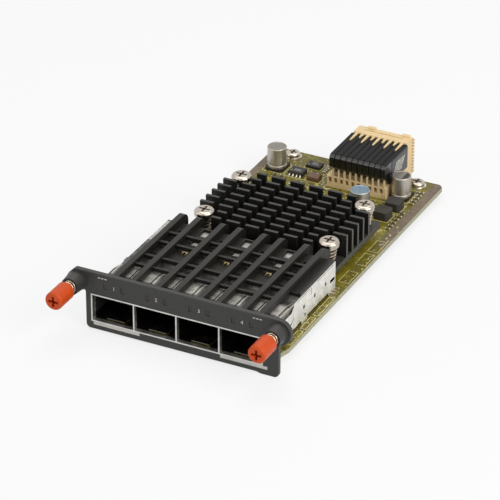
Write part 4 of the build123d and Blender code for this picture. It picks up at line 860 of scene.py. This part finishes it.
class MODULE_OT_components(bpy.types.Operator):
    """Finishes the capacitors, chips, coils and small parts and adds their caps and marks"""
    bl_idname = "port_module.components"
    bl_label = "Board components"

    def execute(self, context):
        colors = context.scene.port_module_colors
        dress(can_finish("drawn_aluminium", colors.can, tone(colors.can, 0.5)),
              *numbered("capacitor_can", 2))
        dress(can_finish("blue_topped_can", colors.can, (0.2, 0.28, 0.36)), "capacitor_can_3")
        dress(mottled("moulded_foot", (0.016, 0.013, 0.012), 0.5, 5000, Specular_IOR_Level=0.3),
              "capacitor_bases")
        dress(mottled("chip_black", (0.017, 0.017, 0.018), 0.48, 6000, Specular_IOR_Level=0.35),
              "control_chip", "logic_chip")
        dress(brushed("tinned_leads", tone(colors.tin, 1.2), 0.28, "Z"), "chip_leads")
        dress(mottled("brown_coil", (0.11, 0.06, 0.03), 0.5, 5000), "filter_coil")
        dress(mottled("grey_ferrite", (0.04, 0.036, 0.034), 0.6, 5000, Specular_IOR_Level=0.3),
              "power_coils")
        dress(mottled("fired_ceramic", (0.36, 0.24, 0.12), 0.45, 5000), "ceramic_parts")
        dress(mottled("resistor_glaze", (0.11, 0.085, 0.04), 0.35, 5000), "chip_resistors")
        self.add_caps(colors, context.scene.port_module_sizes)
        self.add_marks()
        self.add_pole_mark()
        return {"FINISHED"}

    def add_caps(self, colors, sizes):
        """Tinned ends of the small ceramic parts and chip resistors."""
        length, proud = sizes.cap_length / MM, 0.02
        shape = bmesh.new()
        for low, high in blocks_of("ceramic_parts") + blocks_of("chip_resistors"):
            for x0, x1 in ((low[0] - 2 * proud, low[0] + length), (high[0] - length, high[0] + 2 * proud)):
                slab(shape, (x0, low[1] - proud, 0), (x1, high[1] + proud, high[2] + proud))
        add_piece("part_caps", shape, brushed("cap_tin", tone(colors.tin, 1.1), 0.32, "Y"))

    def add_marks(self):
        """Pin dots and plain bars on the chips."""
        shape = bmesh.new()
        for node, bars in (("control_chip", 2), ("logic_chip", 3)):
            low, high = own_box(node)
            disc(shape, low[0] + 0.9, low[1] + 0.9, high[2], high[2] + 0.02, 0.28, 12)
            for i in range(bars):
                y = low[1] + 1.1 + 0.7 * i
                slab(shape, (low[0] + 1.6, y, high[2]), (high[0] - 0.9 - 0.3 * i, y + 0.3, high[2] + 0.02))
        ink = mottled("grey_marking", (0.3, 0.3, 0.3), 0.5, 6000, 0.15)
        add_piece("chip_marks", shape, ink)

    def add_pole_mark(self):
        """Dark segment on the top of one can."""
        shape = bmesh.new()
        low, high = own_box("capacitor_can_2")
        x, y = (low[0] + high[0]) / 2, (low[1] + high[1]) / 2
        top = high[2] - 0.11
        disc(shape, x, y, top, top + 0.03, 2.5, 32)
        cut = bmesh.ops.bisect_plane(shape, geom=shape.verts[:] + shape.edges[:] + shape.faces[:],
                                     plane_co=at(x + 0.9, y, top), plane_no=(-1, 0, 0), clear_outer=True)
        rim = [edge for edge in cut["geom_cut"] if isinstance(edge, bmesh.types.BMEdge)]
        bmesh.ops.holes_fill(shape, edges=rim)
        black = mottled("pole_black", (0.02, 0.018, 0.016), 0.5, 5000)
        add_piece("can_pole_mark", shape, black)


def lamp(name, place, size, power, tint):
    """Square area lamp that points at the module."""
    data = bpy.data.lights.new(name, "AREA")
    data.shape = "SQUARE"
    data.size = size
    data.energy = power
    data.color = tint
    light = bpy.data.objects.new(name, data)
    light.location = place
    light.rotation_euler = (Vector(LAMP_TARGET) - Vector(place)).to_track_quat("-Z", "Y").to_euler()
    bpy.context.scene.collection.objects.link(light)


def seen_directly(nodes, links):
    """1 for camera, glossy and transmission rays, else 0."""
    path = nodes.new("ShaderNodeLightPath")
    total = None
    for ray in ("Is Camera Ray", "Is Glossy Ray", "Is Transmission Ray"):
        if total is None:
            total = path.outputs[ray]
            continue
        node = nodes.new("ShaderNodeMath")
        node.operation = "MAXIMUM"
        links.new(total, node.inputs[0])
        links.new(path.outputs[ray], node.inputs[1])
        total = node.outputs["Value"]
    return total


def set_sky(level, tint):
    """Even light from all round that looks white."""
    world = bpy.data.worlds.new("studio_sky")
    bpy.context.scene.world = world
    world.use_nodes = True
    nodes, links = world.node_tree.nodes, world.node_tree.links
    plain = nodes["Background"]
    plain.inputs["Color"].default_value = (*tint, 1.0)
    plain.inputs["Strength"].default_value = level
    white = nodes.new("ShaderNodeBackground")
    white.inputs["Strength"].default_value = 1.0
    white.inputs["Color"].default_value = (1.0, 1.0, 1.0, 1.0)
    mix = nodes.new("ShaderNodeMixShader")
    links.new(seen_directly(nodes, links), mix.inputs["Fac"])
    links.new(plain.outputs["Background"], mix.inputs[1])
    links.new(white.outputs["Background"], mix.inputs[2])
    links.new(mix.outputs["Shader"], nodes["World Output"].inputs["Surface"])


def floor_finish():
    """Pale floor that keeps a soft shadow and otherwise looks white."""
    material = bpy.data.materials.new("pale_floor")
    material.use_nodes = True
    nodes, links = material.node_tree.nodes, material.node_tree.links
    shader = nodes["Principled BSDF"]
    shader.inputs["Base Color"].default_value = (0.8, 0.84, 0.94, 1.0)
    shader.inputs["Roughness"].default_value = 0.9
    shader.inputs["Specular IOR Level"].default_value = 0.0
    glow = nodes.new("ShaderNodeEmission")
    glow.inputs["Color"].default_value = (1.0, 1.0, 1.0, 1.0)
    glow.inputs["Strength"].default_value = 1.0
    share = nodes.new("ShaderNodeMath")
    share.operation = "MULTIPLY"
    links.new(seen_directly(nodes, links), share.inputs[0])
    share.inputs[1].default_value = FLOOR_GLOW
    mix = nodes.new("ShaderNodeMixShader")
    links.new(share.outputs["Value"], mix.inputs["Fac"])
    links.new(shader.outputs["BSDF"], mix.inputs[1])
    links.new(glow.outputs["Emission"], mix.inputs[2])
    links.new(mix.outputs["Shader"], nodes["Material Output"].inputs["Surface"])
    return material


class MODULE_OT_stage(bpy.types.Operator):
    """Sets the pale floor, the lamps, the sky and the camera"""
    bl_idname = "port_module.stage"
    bl_label = "Studio"

    def execute(self, context):
        settings = context.scene.port_module_stage
        mesh = bpy.data.meshes.new("floor")
        shape = bmesh.new()
        bmesh.ops.create_grid(shape, x_segments=1, y_segments=1, size=3.0)
        shape.to_mesh(mesh)
        shape.free()
        mesh.materials.append(floor_finish())
        floor = bpy.data.objects.new("floor", mesh)
        context.scene.collection.objects.link(floor)
        for name, place, size, power in LAMPS:
            lamp(name, place, size, getattr(settings, power), settings.warmth)
        set_sky(settings.sky, settings.warmth)
        data = bpy.data.cameras.new("camera")
        data.lens = settings.lens
        data.sensor_width = 36.0
        data.clip_start = 0.01
        data.clip_end = 20.0
        camera = bpy.data.objects.new("camera", data)
        turn = Matrix(CAMERA_AXES).transposed().to_4x4()
        camera.matrix_world = Matrix.Translation(settings.camera_place) @ turn
        context.scene.collection.objects.link(camera)
        context.scene.camera = camera
        context.scene.view_settings.view_transform = "Standard"
        return {"FINISHED"}


OPERATORS = (
    MODULE_OT_bezel, MODULE_OT_cage, MODULE_OT_carrier, MODULE_OT_board, MODULE_OT_heat_sink,
    MODULE_OT_screws, MODULE_OT_thumbscrews, MODULE_OT_connector, MODULE_OT_components, MODULE_OT_stage,
)


class MODULE_PT_panel(bpy.types.Panel):
    """Lists the steps that dress the module"""
    bl_idname = "MODULE_PT_panel"
    bl_label = "Port Module"
    bl_space_type = "VIEW_3D"
    bl_region_type = "UI"
    bl_category = "Port Module"

    def draw(self, context):
        scene = context.scene
        for group in (scene.port_module_colors, scene.port_module_sizes, scene.port_module_stage):
            box = self.layout.box()
            for name in group.__annotations__:
                box.prop(group, name)
        for operator in OPERATORS:
            self.layout.operator(operator.bl_idname)


CLASSES = (ModuleColors, ModuleSizes, ModuleStage) + OPERATORS + (MODULE_PT_panel,)


def register():
    for cls in CLASSES:
        bpy.utils.register_class(cls)
    bpy.types.Scene.port_module_colors = PointerProperty(type=ModuleColors)
    bpy.types.Scene.port_module_sizes = PointerProperty(type=ModuleSizes)
    bpy.types.Scene.port_module_stage = PointerProperty(type=ModuleStage)


def unregister():
    del bpy.types.Scene.port_module_stage
    del bpy.types.Scene.port_module_sizes
    del bpy.types.Scene.port_module_colors
    for cls in reversed(CLASSES):
        bpy.utils.unregister_class(cls)


def main():
    register()
    bpy.ops.port_module.bezel()
    bpy.ops.port_module.cage()
    bpy.ops.port_module.carrier()
    bpy.ops.port_module.board()
    bpy.ops.port_module.heat_sink()
    bpy.ops.port_module.screws()
    bpy.ops.port_module.thumbscrews()
    bpy.ops.port_module.connector()
    bpy.ops.port_module.components()
    bpy.ops.port_module.stage()


if __name__ == "__main__":
    main()
